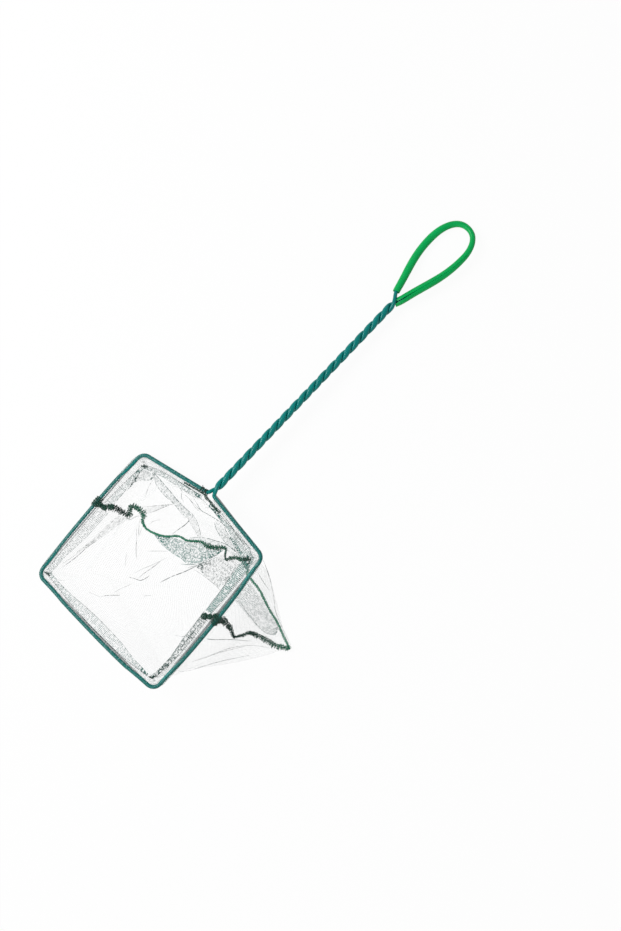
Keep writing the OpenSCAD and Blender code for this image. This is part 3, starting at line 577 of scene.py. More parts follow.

# %% [markdown]
# The bag has two panels of netting. Both hang from the hoop by a hem that is folded round
# the wire and stitched to itself. Three seams join them. Each point of a seam's route is given
# in millimetres, with the half width of its bunch of thread and its share of green.

# %% Routes of the seams
HEM_STITCH, SEAM_START = 4.2, 2.65
NETTING_T, CLEAR = 0.5, 0.2
SIDE_SEAM_R, BOTTOM_SEAM_R = 1.3, 0.8
HEM_R = WIRE_R + 0.15
HEM_LAY = 0.3
SEAM_STEPS = 160
LEFT_FOOT_SHARE, RIGHT_FOOT_SHARE = 0.417, 0.455
NEAR_FOOT_GREEN = 0.05
left_seam_foot = bowed(near_left, far_left, *LEFT_BOW, LEFT_FOOT_SHARE)
right_seam_foot = bowed(far_right, near_right, *RIGHT_BOW, 1 - RIGHT_FOOT_SHARE)
left_in = unit(np.cross(far_left - near_left, -UP))
right_in = unit(np.cross(far_right - near_right, UP))
left_way = unit(near_left - far_left)
right_way = unit(near_right - far_right)
seam_join = vec(-24.5, -62, BOTTOM_SEAM_R)
tip = vec(-48, -128, BOTTOM_SEAM_R)

LEFT_ROUTE = [
    (-137.7, 82.7, 4.2, 2.9, 0.1), (-135.5, 75.7, 2.2, 2.8, 0), (-133.6, 68.5, 1.3, 2.6, 0.1),
    (-130.1, 70.5, 1.3, 2.2, 0.3), (-126.4, 72.7, 1.3, 2.4, 0.3), (-124.6, 67.1, 1.3, 2.8, 0.5),
    (-124.8, 61.1, 1.3, 2.8, 0.5), (-128.6, 58.5, 1.3, 1.8, 0.7), (-130.5, 55.7, 1.3, 1.4, 0.7),
    (-131.7, 51.4, 1.3, 1.2, 0.8), (-130.1, 44.8, 1.3, 1.1, 0.8), (-126.1, 36.9, 1.3, 1.1, 0.7),
    (-118.4, 28.8, 1.3, 1.2, 0.7), (-116.3, 21.8, 1.3, 1.2, 0.6), (-109.4, 13.1, 1.3, 1.6, 0.6),
    (-108.8, 8.5, 1.3, 2.5, 0.45), (-105.3, 2, 1.3, 2.5, 0.45), (-99.7, -4.3, 1.3, 1.6, 0.3),
    (-103.7, -7.8, 1.3, 1.0, 0.1), (-106.4, -11.4, 1.3, 1.0, 0.1),
    (-103.2, -12.3, 1.3, 1.8, 0.3), (-98.2, -18.3, 1.3, 1.8, 0.4),
]
RIGHT_ROUTE = [
    (-138.9, -40.3, 25.2, 3.2, 0.1), (-139.2, -45.6, 22.6, 3.0, 0.1),
    (-140.4, -50.4, 20.3, 2.2, 0.05), (-143.4, -55.7, 17.7, 1.5, 0),
    (-142.5, -57.8, 16.6, 1.4, 0), (-138.3, -60.8, 14.5, 1.6, 0.05),
    (-133.3, -63.7, 12.2, 1.8, 0.1), (-132.6, -67, 8.5, 2.2, 0.1),
    (-130.7, -72.8, 6.8, 2.5, 0.15), (-129.2, -80.9, 4.9, 2.6, 0.25),
    (-127.5, -87, 3.8, 2.6, 0.4), (-122.7, -95, 2.9, 2.0, 0.6),
]
BOTTOM_ROUTE = [
    (-102.7, -30.7), (-104, -38.3), (-105.3, -46.7), (-108.4, -55.2), (-111.4, -63.8),
    (-114.1, -74.2), (-117.8, -83.5),
]


def routed(points):
    """Points of a route from the frame's middle to the neck's zero."""
    return [vec(x, y, z, r, g) + vec(*MIDDLE, 0, 0) for x, y, z, r, g in points]


def level(p):
    return np.asarray(p, dtype=float) * vec(1, 1, 0)


def with_width(point, half_width, green):
    return vec(*point, half_width, green)


def beside(foot, reach, half_width):
    """A point of a route that lies that far from the seam's foot on the flat hoop."""
    return with_width(laid(foot + reach), half_width, NEAR_FOOT_GREEN)


def seam_line(first, points):
    """A seam's line: its first point, then a smooth line through the others."""
    return np.vstack([first, even(through(points, 8), SEAM_STEPS)])


bottom_line = through([
    with_width(seam_join, 1.3, 0.8),
    *routed([(x, y, 0.8, 1.3, 0.8) for x, y in BOTTOM_ROUTE]), with_width(tip, 1.2, 0.8)], 8)

left_end = with_width(level(seam_join) + UP * SIDE_SEAM_R + vec(-0.6, 1.4, 0), 1.6, 0.5)
left_seam_line = seam_line(beside(left_seam_foot, left_in * SEAM_START, 1.8), [
    beside(left_seam_foot, left_in * HEM_STITCH, 2.2),
    beside(left_seam_foot, left_in * 8 - UP * 1.6, 2.8), *routed(LEFT_ROUTE), left_end])
left_seam_line[1:, 2] = np.maximum(left_seam_line[1:, 2], SIDE_SEAM_R)

UNDER_R = WIRE_R + 0.45 + NETTING_T / 2 + CLEAR + 1.2 + CLEAR + SIDE_SEAM_R
right_dip = [beside(right_seam_foot,
                    (right_in * math.cos(a) + UP * math.sin(a)) * share * UNDER_R, 2.6)
             for a, share in zip(np.radians([-48, -80, -112]), (1.03, 1.12, 1.15))]
right_end = with_width(tip + UP * (BOTTOM_SEAM_R + CLEAR + SIDE_SEAM_R), 1.3, 0.7)
right_seam_line = seam_line(beside(right_seam_foot, right_in * SEAM_START, 1.6), [
    beside(right_seam_foot, right_in * HEM_STITCH, 2),
    *right_dip, *routed(RIGHT_ROUTE), right_end])
print("Seams in mm:", [round(float(run(line)[-1])) for line in
                       (left_seam_line, right_seam_line, bottom_line)])


# %% Edges of the panels beside the seams
def carried(line, first):
    """Directions square to a line, carried along it from its first point."""
    go = headings(line)
    side = unit(first - go[0] * (first @ go[0]))
    made = [side]
    for way in go[1:]:
        side = unit(side - way * (side @ way))
        made.append(side)
    return np.array(made)


EDGE_GAP, BOTTOM_GAP = 0.7, 1.0
left_ahead, right_ahead = leaned(left_way), leaned(right_way)
bottom_ahead = np.cross(UP, unit(tip - seam_join))


def seam_edge(line, first, side):
    """The edge of that side's panel along a seam, a little beside the seam's line."""
    line = line[:, :3]
    made = (line + carried(line, first * side) * EDGE_GAP)[1:]
    made[-1, 2] = BOTTOM_SEAM_R
    return made


edges = {side: (seam_edge(left_seam_line, left_ahead, side),
                seam_edge(right_seam_line, right_ahead, side)) for side in (1, -1)}


def bottom_edge(side):
    line = bottom_line[:, :3]
    made = line + carried(line, bottom_ahead * side) * BOTTOM_GAP
    return np.vstack([edges[side][0][-1:], made[1:-1], edges[side][1][-1:]])


# %% [markdown]
# Each panel is one grid: its columns run down from the hem. Its first rows are the hem's free
# edge, the stitches, the turn round the wire and the way back to the stitches, and the rest is
# the bag. How far the stitches and the free edge lie from the wire changes along the hoop, and
# grows at the corners, where the cloth is pinched into a knot.

# %% Hem lines and their section
HEM_END = 2.6 * 2 * WIRE_R
CORNER_SHARE, HEM_POINTS = 0.06, 14
neck_point = (left_foot + right_foot) / 2
left_hem_end = left_foot + unit(near_left - left_foot) * HEM_END
right_hem_end = right_foot + unit(near_right - right_foot) * HEM_END


def hem_path(side, middle):
    """The wire's line from the left seam's foot to the right one's, round that side's half."""
    end = CORNER_SHARE if side > 0 else 1 - CORNER_SHARE
    left_shares = np.linspace(LEFT_FOOT_SHARE, end, HEM_POINTS)
    right_shares = np.linspace(1 - end, 1 - RIGHT_FOOT_SHARE, HEM_POINTS)
    return np.vstack([left_seam_foot + left_way * side * EDGE_GAP,
                      bowed(near_left, far_left, *LEFT_BOW, left_shares)[1:], *middle,
                      bowed(far_right, near_right, *RIGHT_BOW, right_shares)[:-1],
                      right_seam_foot + right_way * side * EDGE_GAP])


near_path = hem_path(1, [near_left_bend[::-1], left_hem_end, neck_point, right_hem_end,
                         near_right_bend[::-1]])
far_path = hem_path(-1, [far_left_bend, far_side, far_right_bend])

HEM_TABLE = {
    1: dict(at=[0, .1, .16, .2, .22, .26, .3, .4, .46, .5, .6, .7, .74, .78, .84, .92, 1],
            stitch=[5.4, 6.6, 7.4, 7.8, 7.8, 6.0, 4.4, 4.2, 4.9, 5.5, 4.9, 3.8, 6.4, 4.6, 4.2,
                    5.2, 6.2],
            flap=[12, 11, 9.9, 10.5, 10.5, 9.2, 8, 7.9, 6.9, 7.4, 7.8, 10, 10.8, 11, 12, 11.2,
                  11.3],
            tone_at=[0, .2, .25, .5, .76, 1], tone=[.9, .9, 1, 1, 2.8, 2.8],
            green=[.4, .4, .4, .5, .75, .75]),
    -1: dict(at=[0, .1, .18, .24, .28, .32, .38, .48, .58, .66, .7, .75, .8, .84, .92, 1],
             stitch=[4.4, 4.2, 3.7, 4, 5.2, 4.4, 3.6, 2.8, 3.2, 4, 4.6, 6.8, 5.8, 4.7, 4.8,
                     5.9],
             flap=[13, 12, 8.6, 7.8, 8.3, 7.4, 8.5, 10.8, 10.6, 7.6, 6.4, 9.4, 8.8, 8.6, 10.8,
                   11.7],
             tone_at=[0, .26, .3, .72, .77, 1], tone=[.75, .75, .8, .8, .85, .85],
             green=[.2, .2, .5, .5, .2, .2]),
}
FLAP_ROWS, TOP_ROWS, ARC_ROWS = 8, 3, 10
HEM_ROWS = FLAP_ROWS + 2 * TOP_ROWS + ARC_ROWS
TURN_START = math.radians(50)


def hem_section(line, side):
    """Rows of the hem for every point of the line: free edge, stitches, round the wire."""
    table, u = HEM_TABLE[side], shares_along(line)
    stitch, flap = (np.interp(u, table["at"], table[row])[:, None] for row in ("stitch", "flap"))
    inward = np.cross(headings(line), UP) * side

    def between(t, face):
        """A row on the hem's upper or under face, from the stitches (0) to the wire (1)."""
        return (line + inward * lerp(stitch, HEM_R * math.cos(TURN_START), t)
                + UP * face * lerp(HEM_LAY, HEM_R * math.sin(TURN_START), t ** 2))

    steps = np.arange(1, TOP_ROWS + 1) / (TOP_ROWS + 1)
    rows = [line + inward * lerp(flap, stitch, t) + UP * HEM_LAY
            for t in np.linspace(0, 1, FLAP_ROWS)]
    rows += [between(t, 1) for t in steps]
    rows += [line + (inward * math.cos(a) + UP * math.sin(a)) * HEM_R
             for a in np.linspace(TURN_START, 2 * math.pi - TURN_START, ARC_ROWS)]
    rows += [between(t, -1) for t in 1 - steps]
    return laid(np.stack([*rows, line + inward * stitch - UP * HEM_LAY], 1))


# %% [markdown]
# Below the hem a panel falls to a fold line and runs on to the bottom seam. Next to a side
# seam it follows that seam.

# %% Shape of a panel
PANELS = {
    1: dict(path=near_path, corner=near_right_bend[5], fold=vec(-13.5, -75.5, 0), bows=(0.8, 0.4),
            gather=2.6, hold=2.4),
    -1: dict(path=far_path, corner=far_right_bend[5], fold=vec(-114, -82, 0), bows=(0.5, 0.3),
             gather=1.0, hold=3.0),
}
FOLD_SHARE, TIP_FOLD_SHARE = 0.8, 0.96
FOLD_HEIGHT, FOLD_LOFT = 1.5, 3.0
OPEN_FALL, STEEP_FALL = 2.6, 1.35
LEAST_HEIGHT = NETTING_T / 2


def bow(a, m, b, t):
    return lerp(lerp(a, m, t), lerp(m, b, t), t)


def panel_points(side, columns, body_rows):
    """A panel's hem line, and its points by column and row, from the hem to the bottom seam."""
    facts = PANELS[side]
    line = even(facts["path"], columns)
    left_edge, right_edge = edges[side]
    u = shares_along(line)
    split = u[int(np.argmin(np.linalg.norm(line - facts["corner"], axis=1)))]
    hem = hem_section(line, side)
    hang = hem[:, -1]
    lying = (u <= split)[:, None]
    t = np.where(u <= split, u / split, (u - split) / (1 - split))[:, None]
    fold, end = facts["fold"], level(right_edge[-1])
    left_fold = level(at(left_edge, FOLD_SHARE))
    bows = facts["bows"]
    mid_a = vec(lerp(left_fold[0], fold[0], bows[0]), lerp(left_fold[1], fold[1], bows[1]), 0)
    mid_b = vec(lerp(fold[0], end[0], 0.5), lerp(fold[1], end[1], 0.62), 0)
    fold_xy = np.where(lying, bow(left_fold, mid_a, fold, t), bow(fold, mid_b, end, t))
    fold_z = np.where(lying, lerp(LEAST_HEIGHT, FOLD_HEIGHT, t ** 4),
                      lerp(FOLD_HEIGHT, right_edge[-1][2], t))
    fold_point = fold_xy + UP * fold_z
    foot = at(bottom_edge(side), u ** facts["gather"])
    share = np.where(lying, FOLD_SHARE, lerp(FOLD_SHARE, TIP_FOLD_SHARE, t))
    fall = np.where(lying, lerp(OPEN_FALL, STEEP_FALL, t ** 4), STEEP_FALL)
    loft = np.where(lying, t ** 4, 1) * FOLD_LOFT

    def row_at(v):
        s = np.clip(v / share, 0, 1)
        upper = level(lerp(hang, fold_point, s)) + UP * (
            fold_z + (hang[:, 2:] - fold_z) * (1 - s) ** fall + loft * s * (1 - s ** 8))
        return np.where(v <= share, upper, lerp(fold_point, foot, (v - share) / (1 - share)))

    rows = []
    for v in np.linspace(0, 1, body_rows + 1)[1:]:
        p = row_at(v)
        p = (p + (at(left_edge, v) - p[0]) * ((1 - u) ** facts["hold"])[:, None]
             + (at(right_edge, v) - p[-1]) * (u ** facts["hold"])[:, None])
        p[:, 2] = np.maximum(p[:, 2], LEAST_HEIGHT)
        rows.append(p)
    return line, np.concatenate([hem, np.stack(rows, 1)], 1)


# %% [markdown]
# Netting is open: threads of nylon, knitted round small square holes. Insetting every face
# of the grid and deleting what is left inside it turns the sheet into its threads. Faces too
# narrow for a hole stay whole, and where the cloth is gathered its threads are thicker. The
# holes are drawn 0.75 mm wide on average, coarser than a fine knit, so that they can show at
# all. A single layer is pale and nearly clear, and reads as a haze. Its tone grows where the
# cloth is doubled or creased, in specks of about 1.3 mm: there the thread lets less through,
# and its colour is darkened towards grey-green, which is painted shade of the folds.

# %% Netting
THREAD_HALF, DENSE_HALF, BUNCHED_HALF = 0.15, 0.23, 0.3
LEAST_HOLE = 0.36
SPECKLE = 1.3
CLEAREST = 0.22


def netting_nylon(name, pale, dark, tint):
    """Sheer thread that darkens, and lets less through, by its tone, with its share of green; in
    folds and creases the darkening is painted shade.
    """
    made, tree, shader = material(name, {"Roughness": 0.5, "IOR": 1.53})
    tone = node(tree, "ShaderNodeAttribute", {"attribute_name": "tone"})
    green = node(tree, "ShaderNodeAttribute", {"attribute_name": "green"})
    speckle = ranged(tree, noise(tree, SPECKLE, 2.0), -0.2, 2.2, 0.36, 0.64)
    depth = node(tree, "ShaderNodeMath", {"operation": "MULTIPLY", "use_clamp": True},
                 links={0: tone.outputs["Fac"], 1: speckle}).outputs[0]
    # Painted shade: the thread's colour runs from pale to dark grey-green with its tone, which is
    # high in folds, creases and doubled strips.
    shade = blend(tree, depth, pale, blend(tree, green.outputs["Fac"], dark, tint))
    tree.links.new(shade, shader.inputs["Base Color"])
    tree.links.new(ranged(tree, depth, CLEAREST, 1), shader.inputs["Alpha"])
    return made


netting = netting_nylon("sheer nylon netting, knitted", "#F4F7F6", "#1C2B2B", "#1E7F74")


def cut_holes(shape, faces, half):
    """Leaves only the threads of those faces, where a hole fits between them."""
    wide = [f for f in faces if min(e.calc_length() for e in f.edges) > LEAST_HOLE * MM]
    bmesh.ops.inset_individual(shape, faces=wide, thickness=half * MM,
                               use_even_offset=False, use_interpolate=True)
    bmesh.ops.delete(shape, geom=wide, context="FACES")


# %% [markdown]
# The bag lies crumpled: it shows thin dark creases, and doubled cloth in grey-green strips.
# The creases are thin tubes of darkened thread, painted shade along the folds, and the
# strips are an extra layer of netting whose darker tone is partly painted shade.
# Both are set as lines on the table, x and y in turn, in millimetres from the frame's
# middle, and are carried up to the cloth along the camera's rays, so that they lie on the
# panel that they belong to. A crease has its radius, its tone, its share of green and its
# line, and a strip its tone, its green and its two long edges.

# %% Creases of the cloth, by panel
# Each crease is a thin tube of darkened thread: painted shade along a fold.
CREASES = {1: [
    [0.24, 1, 0.3, -95.5, 82.5, -96.3, 71, -97.5, 58.9, -98.7, 48.8, -98.9, 38.6, -98.6, 32.6,
     -101.2, 31.5],
    [0.2, 0.84, 0.1, -101, 31.2, -107.4, 31.4, -113.9, 32.5, -121, 33.8],
    [0.16, 0.56, 0.1, -102.3, 31.7, -108.4, 31.4, -113, 31.5],
    [0.16, 0.56, 0.2, -96.5, 78.8, -99.4, 74.3, -101.9, 67.4, -103, 59.1, -102.8, 48.4, -105,
     35.5],
    [0.18, 0.7, 0.2, -98.6, 32.6, -100.2, 26.6, -103.8, 20, -106.9, 15.6],
    [0.14, 0.49, 0.1, -103.2, 33.6, -105.2, 27.2, -107.2, 20.7, -108.3, 17.1],
    [0.14, 0.49, 0, -99.9, 74.3, -106.4, 73.1, -115.3, 69.1],
    [0.18, 0.7, 0.1, -89.7, 57.4, -91.2, 51.4, -94.5, 49.1, -96.5, 44.6],
    [0.16, 0.56, 0.1, -91.7, 49.1, -91.4, 43, -93, 36.1, -93.1, 30.6],
    [0.2, 0.77, 0.3, -88.5, 41.6, -90.5, 34.3, -91.5, 29.7, -89.9, 23.1, -88.2, 14.8, -87.4, 8.3,
     -89.4, 3.7],
    [0.14, 0.56, 0.1, -91.7, 42.2, -91.8, 36.6, -91.9, 32, -90.7, 25.9],
    [0.16, 0.63, 0.1, -87.8, 29.6, -84.3, 23.9, -86.3, 17.5, -87.3, 14.7],
    [0.18, 0.7, 0.4, -91.4, 16.2, -94.8, 9.4, -96.4, 1.5, -97, -3.5, -96.3, -13.7],
    [0.18, 0.77, 0.3, -87.8, 14.3, -87.4, 10.1, -89.9, 4.2, -91.5, -3.7, -93, -9.7],
    [0.16, 0.77, 0.3, -92.6, 5.2, -93.2, 1, -90.8, -3.9],
    [0.2, 0.98, 0.3, -82.1, 17.9, -83.2, 9.5, -84.8, 1.7, -85.1, -7.5, -86.7, -16.3, -86.3, -19.6],
    [0.16, 0.7, 0.2, -85.7, 5.4, -86.3, -1.5, -87.5, -11.7, -89.5, -19, -85.8, -19.1],
    [0.22, 0.91, 0.8, -90.5, -0.9, -91, -6, -92.1, -10.6, -94.1, -18, -94.3, -23.5],
    [0.2, 0.84, 0.8, -93.9, -7.8, -94.9, -12.4, -96.4, -17.5, -99.3, -22.9],
    [0.18, 0.84, 0.4, -86.3, -19.6, -90.3, -22, -93.2, -25.6],
    [0.14, 0.56, 0, -121.9, 65.6, -115.3, 60.1, -103.4, 49.7],
    [0.14, 0.56, 0, -123.4, 59.6, -116.1, 55.7, -109.5, 53, -103.4, 49.7],
    [0.14, 0.56, 0.1, -127.8, 51.8, -124.1, 51.7, -119.1, 48.4],
    [0.2, 0.84, 0.3, -113.3, 21.7, -108.5, 17.1, -104.5, 11.9, -101.4, 5.8, -98.3, -0.3, -96.8,
     -6.1, -96.1, -12.6, -96.9, -17],
    [0.14, 0.56, 0, -86.1, -32.1, -89.6, -39.9, -93.5, -47.2, -98.6, -53.9],
    [0.16, 0.7, 0.2, -94.4, -30, -95.9, -35.1, -98.5, -43.8, -100.1, -52.6],
    [0.14, 0.56, 0, -85.8, -32, -93.6, -46.8, -100.8, -57.6, -108.9, -67.6, -114.4, -80.2, -119.9,
     -94.8],
    [0.14, 0.56, 0.1, -121.8, -39.6, -125.7, -56, -126.6, -72.4, -122.7, -80],
    [0.18, 0.84, 0.2, -101.4, -21.3, -105.3, -20.5, -110.4, -21.7, -119.3, -23.8, -125.8, -24.6,
     -144.4, -26.6, -150, -27.4],
    [0.16, 0.77, 0.3, -105, -28.4, -113.4, -29.1, -122.7, -29.8],
    [0.16, 0.63, 0.1, -108.9, 86.1, -117.7, 84.9, -126.5, 83.8, -135.3, 83.5],
    [0.26, 1, 0.5, -87.3, 58.7, -85.9, 51, -84.4, 43.3, -82.3, 37.2],
    [0.16, 0.63, 0.1, -90, 54.3, -87.9, 42.7, -83.5, 33.3],
], -1: [
    [0.14, 0.49, 0, -130.3, 60.2, -135.5, 56.2, -141.2, 51.7],
    [0.16, 0.56, 0, -136.9, 57.6, -143, 51.6, -150.8, 44.6],
    [0.14, 0.49, 0, -133.7, 54.3, -141.2, 51.7],
    [0.16, 0.56, 0.1, -137.5, 69.7, -136.5, 66.2, -131.6, 64.4, -127.7, 62.2],
    [0.12, 0.42, 0, -156.1, 50.2, -161.7, 45.7, -166, 42.6],
    [0.16, 0.63, 0, -143.7, 51, -149.7, 45.9, -154.9, 39.9],
    [0.12, 0.49, 0, -156.3, 49.9, -163.1, 44.7],
    [0.12, 0.35, 0, -144.3, 38.8, -139.2, 33.8, -133.1, 26.8],
    [0.2, 0.77, 0, -164.7, 73, -173.9, 75.1, -187.8, 76.4, -200.5, 78.8],
    [0.12, 0.42, 0, -177.6, 77.1, -187.8, 78.2, -198.3, 80.8],
    [0.12, 0.42, 0.1, -210, 76.9, -208.5, 73, -205.6, 69.4],
    [0.26, 1, 0.1, -169.1, 35.4, -166.6, 30.5, -164.9, 26.8, -161.1, 25, -157.1, 24.2],
    [0.18, 0.7, 0, -164.2, 29.2, -156.8, 28.1, -150.6, 26.8, -143.4, 25.7],
    [0.14, 0.49, 0, -169.8, 29.4, -174.6, 31.1, -180.5, 33.6, -186.3, 35.3],
    [0.2, 0.91, 0, -195.1, 40.5, -191.6, 37.6, -188.2, 34.4, -184.2, 30.1],
    [0.12, 0.35, 0, -199.8, 50.5, -198.3, 46.5, -195.7, 40],
    [0.12, 0.42, 0, -172.1, 16.3, -169.3, 14.4, -167.2, 11],
    [0.12, 0.35, 0, -143.1, 37.5, -137.4, 31.4],
    [0.28, 1, 0.1, -155.5, 14.4, -145.5, 10.9, -135.9, 6.3, -125.8, 2.4],
    [0.2, 1, 0.3, -125.8, 2.4, -116.6, -0.5, -108.9, -3, -102, -4.2],
    [0.22, 1, 0.5, -133.5, 12.6, -128.9, 7.2, -122.5, 1.6, -115.9, -1.9, -110, -4],
    [0.16, 0.7, 0.2, -131.7, 6.5, -124.3, 1.8, -116.5, -4.3],
    [0.14, 0.56, 0.1, -124.3, 1.8, -114.4, -0.4, -106.5, -4.6],
    [0.2, 0.91, 0.9, -130.8, 43.9, -132.4, 35, -131.7, 24, -129.9, 15, -129.9, 8.8],
    [0.16, 0.84, 0.9, -124.6, 18.1, -127.5, 13.4, -129.9, 8.8],
    [0.14, 0.7, 0.8, -112.2, 15.3, -117.5, 15.1, -125, 12.8],
    [0.16, 0.63, 0.1, -129.3, 1.9, -127.7, -6.5, -126.9, -14.8, -126.6, -20.9, -127.2, -24.6],
    [0.14, 0.56, 0, -163.9, 34.3, -156.5, 31.6, -146.6, 27.3, -136.2, 23.6],
    [0.14, 0.56, 0.1, -123.9, -38.7, -124.6, -46.5, -125.3, -55.2],
    [0.22, 0.98, 0.1, -177.6, -22.9, -173.7, -28.2, -167.9, -35.3, -163.9, -40.5, -158.8, -47.4,
     -151, -55.4, -144.7, -62.9, -139.9, -69],
    [0.16, 0.7, 0, -183.6, -46.7, -176.6, -50.8, -172.4, -53.2, -164.2, -57.1, -157.8, -61, -146,
     -68.7],
    [0.16, 0.63, 0.1, -196.7, -40.6, -195.9, -43.9, -193.7, -47.2, -186, -52.5, -174, -59.2,
     -162.6, -66.4, -147.9, -76.7],
    [0.14, 0.56, 0, -177.9, -49.2, -167.6, -54.9, -154.3, -61.7, -141.1, -72.6, -133.4, -83.7],
    [0.18, 0.77, 0.2, -153.8, -30, -164, -31.6, -171, -31.9, -179.8, -33.1, -185.9, -34.3, -197,
     -35.9, -204.4, -35.7, -211.3, -34.2],
    [0.16, 0.63, 0.2, -155.1, -27.7, -163.5, -28.4, -172.8, -29.1, -183, -30.7, -193.2, -32.3,
     -203.9, -33.4, -212.2, -33.2],
    [0.2, 0.98, 0.1, -190.5, -35.1, -197, -35.9, -203.1, -36.2],
    [0.14, 0.49, 0, -210.6, 71.9, -210.5, 58.4, -209.5, 41.3, -209.5, 23.2, -211.1, -0.9],
]}

# %% Doubled strips of the cloth, by panel
# A strip is a real extra layer of netting; its darker tone is partly painted shade of the fold.
STRIPS = {1: [
    [0.55, 0.35, [-95.6, 80.7, -96.3, 71, -97.5, 58.9, -98.7, 48.8, -98.9, 38.6, -98.6, 32.6],
     [-96.5, 78.8, -99.9, 72.9, -101.9, 66.5, -103, 59.1, -102.8, 48.4, -105, 35.5]],
    [0.35, 0.1, [-98.6, 32.6, -100.2, 26.6, -103.8, 20, -106.9, 15.6], [-103.2, 34.5, -105.2, 27.2,
     -107.2, 20.7, -108.3, 17.1]],
    [0.35, 0.1, [-122.1, 65.3, -113.9, 58.7, -103.4, 49.7], [-123.7, 59.7, -116.1, 55.7, -103.5,
     49.6]],
    [0.55, 0.3, [-109.3, 85.6, -101, 86.4, -96.5, 81.6, -99.4, 75.2], [-121.4, 83.2, -110.3, 82.9,
     -105.3, 78.6, -101.7, 74.8]],
    [0.55, 0.3, [-91.4, 16.2, -94.8, 9.4, -96.4, 1.5, -97, -3.5, -96.3, -12.8], [-88.2, 13.8,
     -89.8, 5.1, -91.5, -3.7, -93, -9.7, -95, -15.2]],
    [0.45, 0.1, [-85.2, 5, -85.4, -2.4, -86.5, -10.8, -89, -18.6], [-88.1, 0.4, -90.1, -7, -91.3,
     -15.3, -90.9, -19.4]],
    [0.8, 0.8, [-90.5, -1.9, -91.1, -7.9, -92.2, -14.3, -94.3, -23.5, -96.2, -27.2], [-91.4, -0.9,
     -93.9, -7.8, -96.4, -15.6, -98.9, -22.5, -102.3, -31.2]],
    [0.4, 0.5, [-113.4, 21.6, -104.6, 11.8, -98.4, -0.4, -96.2, -12.7, -97.4, -18.4], [-114.9,
     20.1, -108.3, 9.3, -100.7, -4.4, -99.6, -16, -97.9, -18.8]],
    [0.2, 0, [-86.8, -21.9, -85.6, -27, -87.9, -30.2, -94.5, -30.9], [-89.6, -22.7, -92, -25.9,
     -93.4, -27.3, -94.9, -29.5]],
], -1: [
    [0.4, 0.05, [-139.7, 74.8, -148, 76, -161.9, 76.3, -175.1, 77.3, -183.2, 78.7], [-136.2, 67.3,
     -145.4, 69.4, -161.5, 72.1, -175.4, 75.3, -183.4, 78.5]],
    [0.75, 0.75, [-130.8, 43.9, -123, 32.2, -116.1, 19.4, -110.1, 11.5, -105.3, 2.4, -102.3, -4.5],
     [-131.2, 42.9, -132.1, 27.5, -130.1, 14.8, -129.9, 8.8, -123.3, 2.8, -108.9, -3]],
    [0.5, 0.15, [-126.3, 2.9, -115.9, -1.9, -104.5, -6.6, -104.2, -12.1, -99.9, -21.7], [-126.5,
     1.7, -127, -8.6, -126.2, -15.6, -126.9, -22, -117, -24.3]],
    [0.7, 0.35, [-124.7, -35.6, -126, -48.5, -128, -65.9, -126.7, -74.4, -122.9, -80.5], [-105.5,
     -31.2, -108.6, -47.4, -111.5, -63.8, -114.2, -72.2, -117.3, -79.1]],
]}
STRIP_CELL, CREASE_STEP = 1.1, 1.6
STEEP = 2.5
CAST_GAP = 0.3
DENSE_TONE = 0.7
eye = Vector([*CAMERA_PLACE, CAMERA_HEIGHT]) / MM


def paired(numbers):
    return np.reshape(numbers, (-1, 2)).astype(float)


def cloth_tree(points):
    """A search tree of a panel's faces, in millimetres from the frame's middle."""
    rows, columns = points.shape[:2]
    first = (np.arange(rows - 1)[:, None] * columns + np.arange(columns - 1)).ravel()
    faces = np.stack([first, first + 1, first + columns + 1, first + columns], 1)
    return BVHTree.FromPolygons((points - MIDDLE).reshape(-1, 3).tolist(), faces.tolist())


def on_cloth(spot, trees):
    """Where the camera's ray to a spot of the table meets a panel, or else the table."""
    way = (Vector((spot[0], spot[1], 0)) - eye).normalized()
    for tree in trees:
        place = tree.ray_cast(eye, way)[0]
        if place is not None:
            return np.array(place - way * CAST_GAP)
    return vec(spot[0], spot[1], CAST_GAP)


def add_strips(shape, side, trees):
    """Doubled cloth over a panel, toned darker, which is partly painted shade. Returns the faces
    of the light strips and of the dense ones.
    """
    made = ([], [])
    for tone, green, *long_edges in STRIPS[side]:
        a, b = (paired(numbers) for numbers in long_edges)
        columns = int(max(run(a)[-1], run(b)[-1]) / STRIP_CELL) + 1
        a, b = even(a, columns), even(b, columns)
        rows = max(1, int(np.linalg.norm(a - b, axis=1).max() / STRIP_CELL))
        points = np.array([[on_cloth(spot, trees) for spot in lerp(a, b, t)]
                           for t in np.linspace(0, 1, rows + 1)])
        verts = add_grid(shape, points + MIDDLE, tone, green)
        faces = dict.fromkeys(f for v in verts for f in v.link_faces)
        steep = [f for f in faces
                 if max(v.co.z for v in f.verts) - min(v.co.z for v in f.verts) > STEEP * MM]
        bmesh.ops.delete(shape, geom=steep, context="FACES")
        made[tone > DENSE_TONE].extend(f for f in faces if f.is_valid)
    return made


def add_creases(shape, side, trees):
    """Thin dark tubes over a panel, painted shade along its creases, each cut where it would jump
    from one layer to another.
    """
    for radius, tone, green, *numbers in CREASES[side]:
        spots = through(paired(numbers), 8)
        spots = even(spots, max(3, int(run(spots)[-1] / CREASE_STEP)))
        line = np.array([on_cloth(spot, trees) for spot in spots]) + MIDDLE
        cuts = np.flatnonzero(np.abs(np.diff(line[:, 2])) > STEEP) + 1
        thick = radius * (0.25 + 0.75 * np.sin(np.linspace(0, np.pi, len(line))) ** 0.5)
        for part in np.split(np.arange(len(line)), cuts):
            if len(part) > 2:
                add_tube(shape, rings_round(line[part], thick[part], 4), False, tone, green)


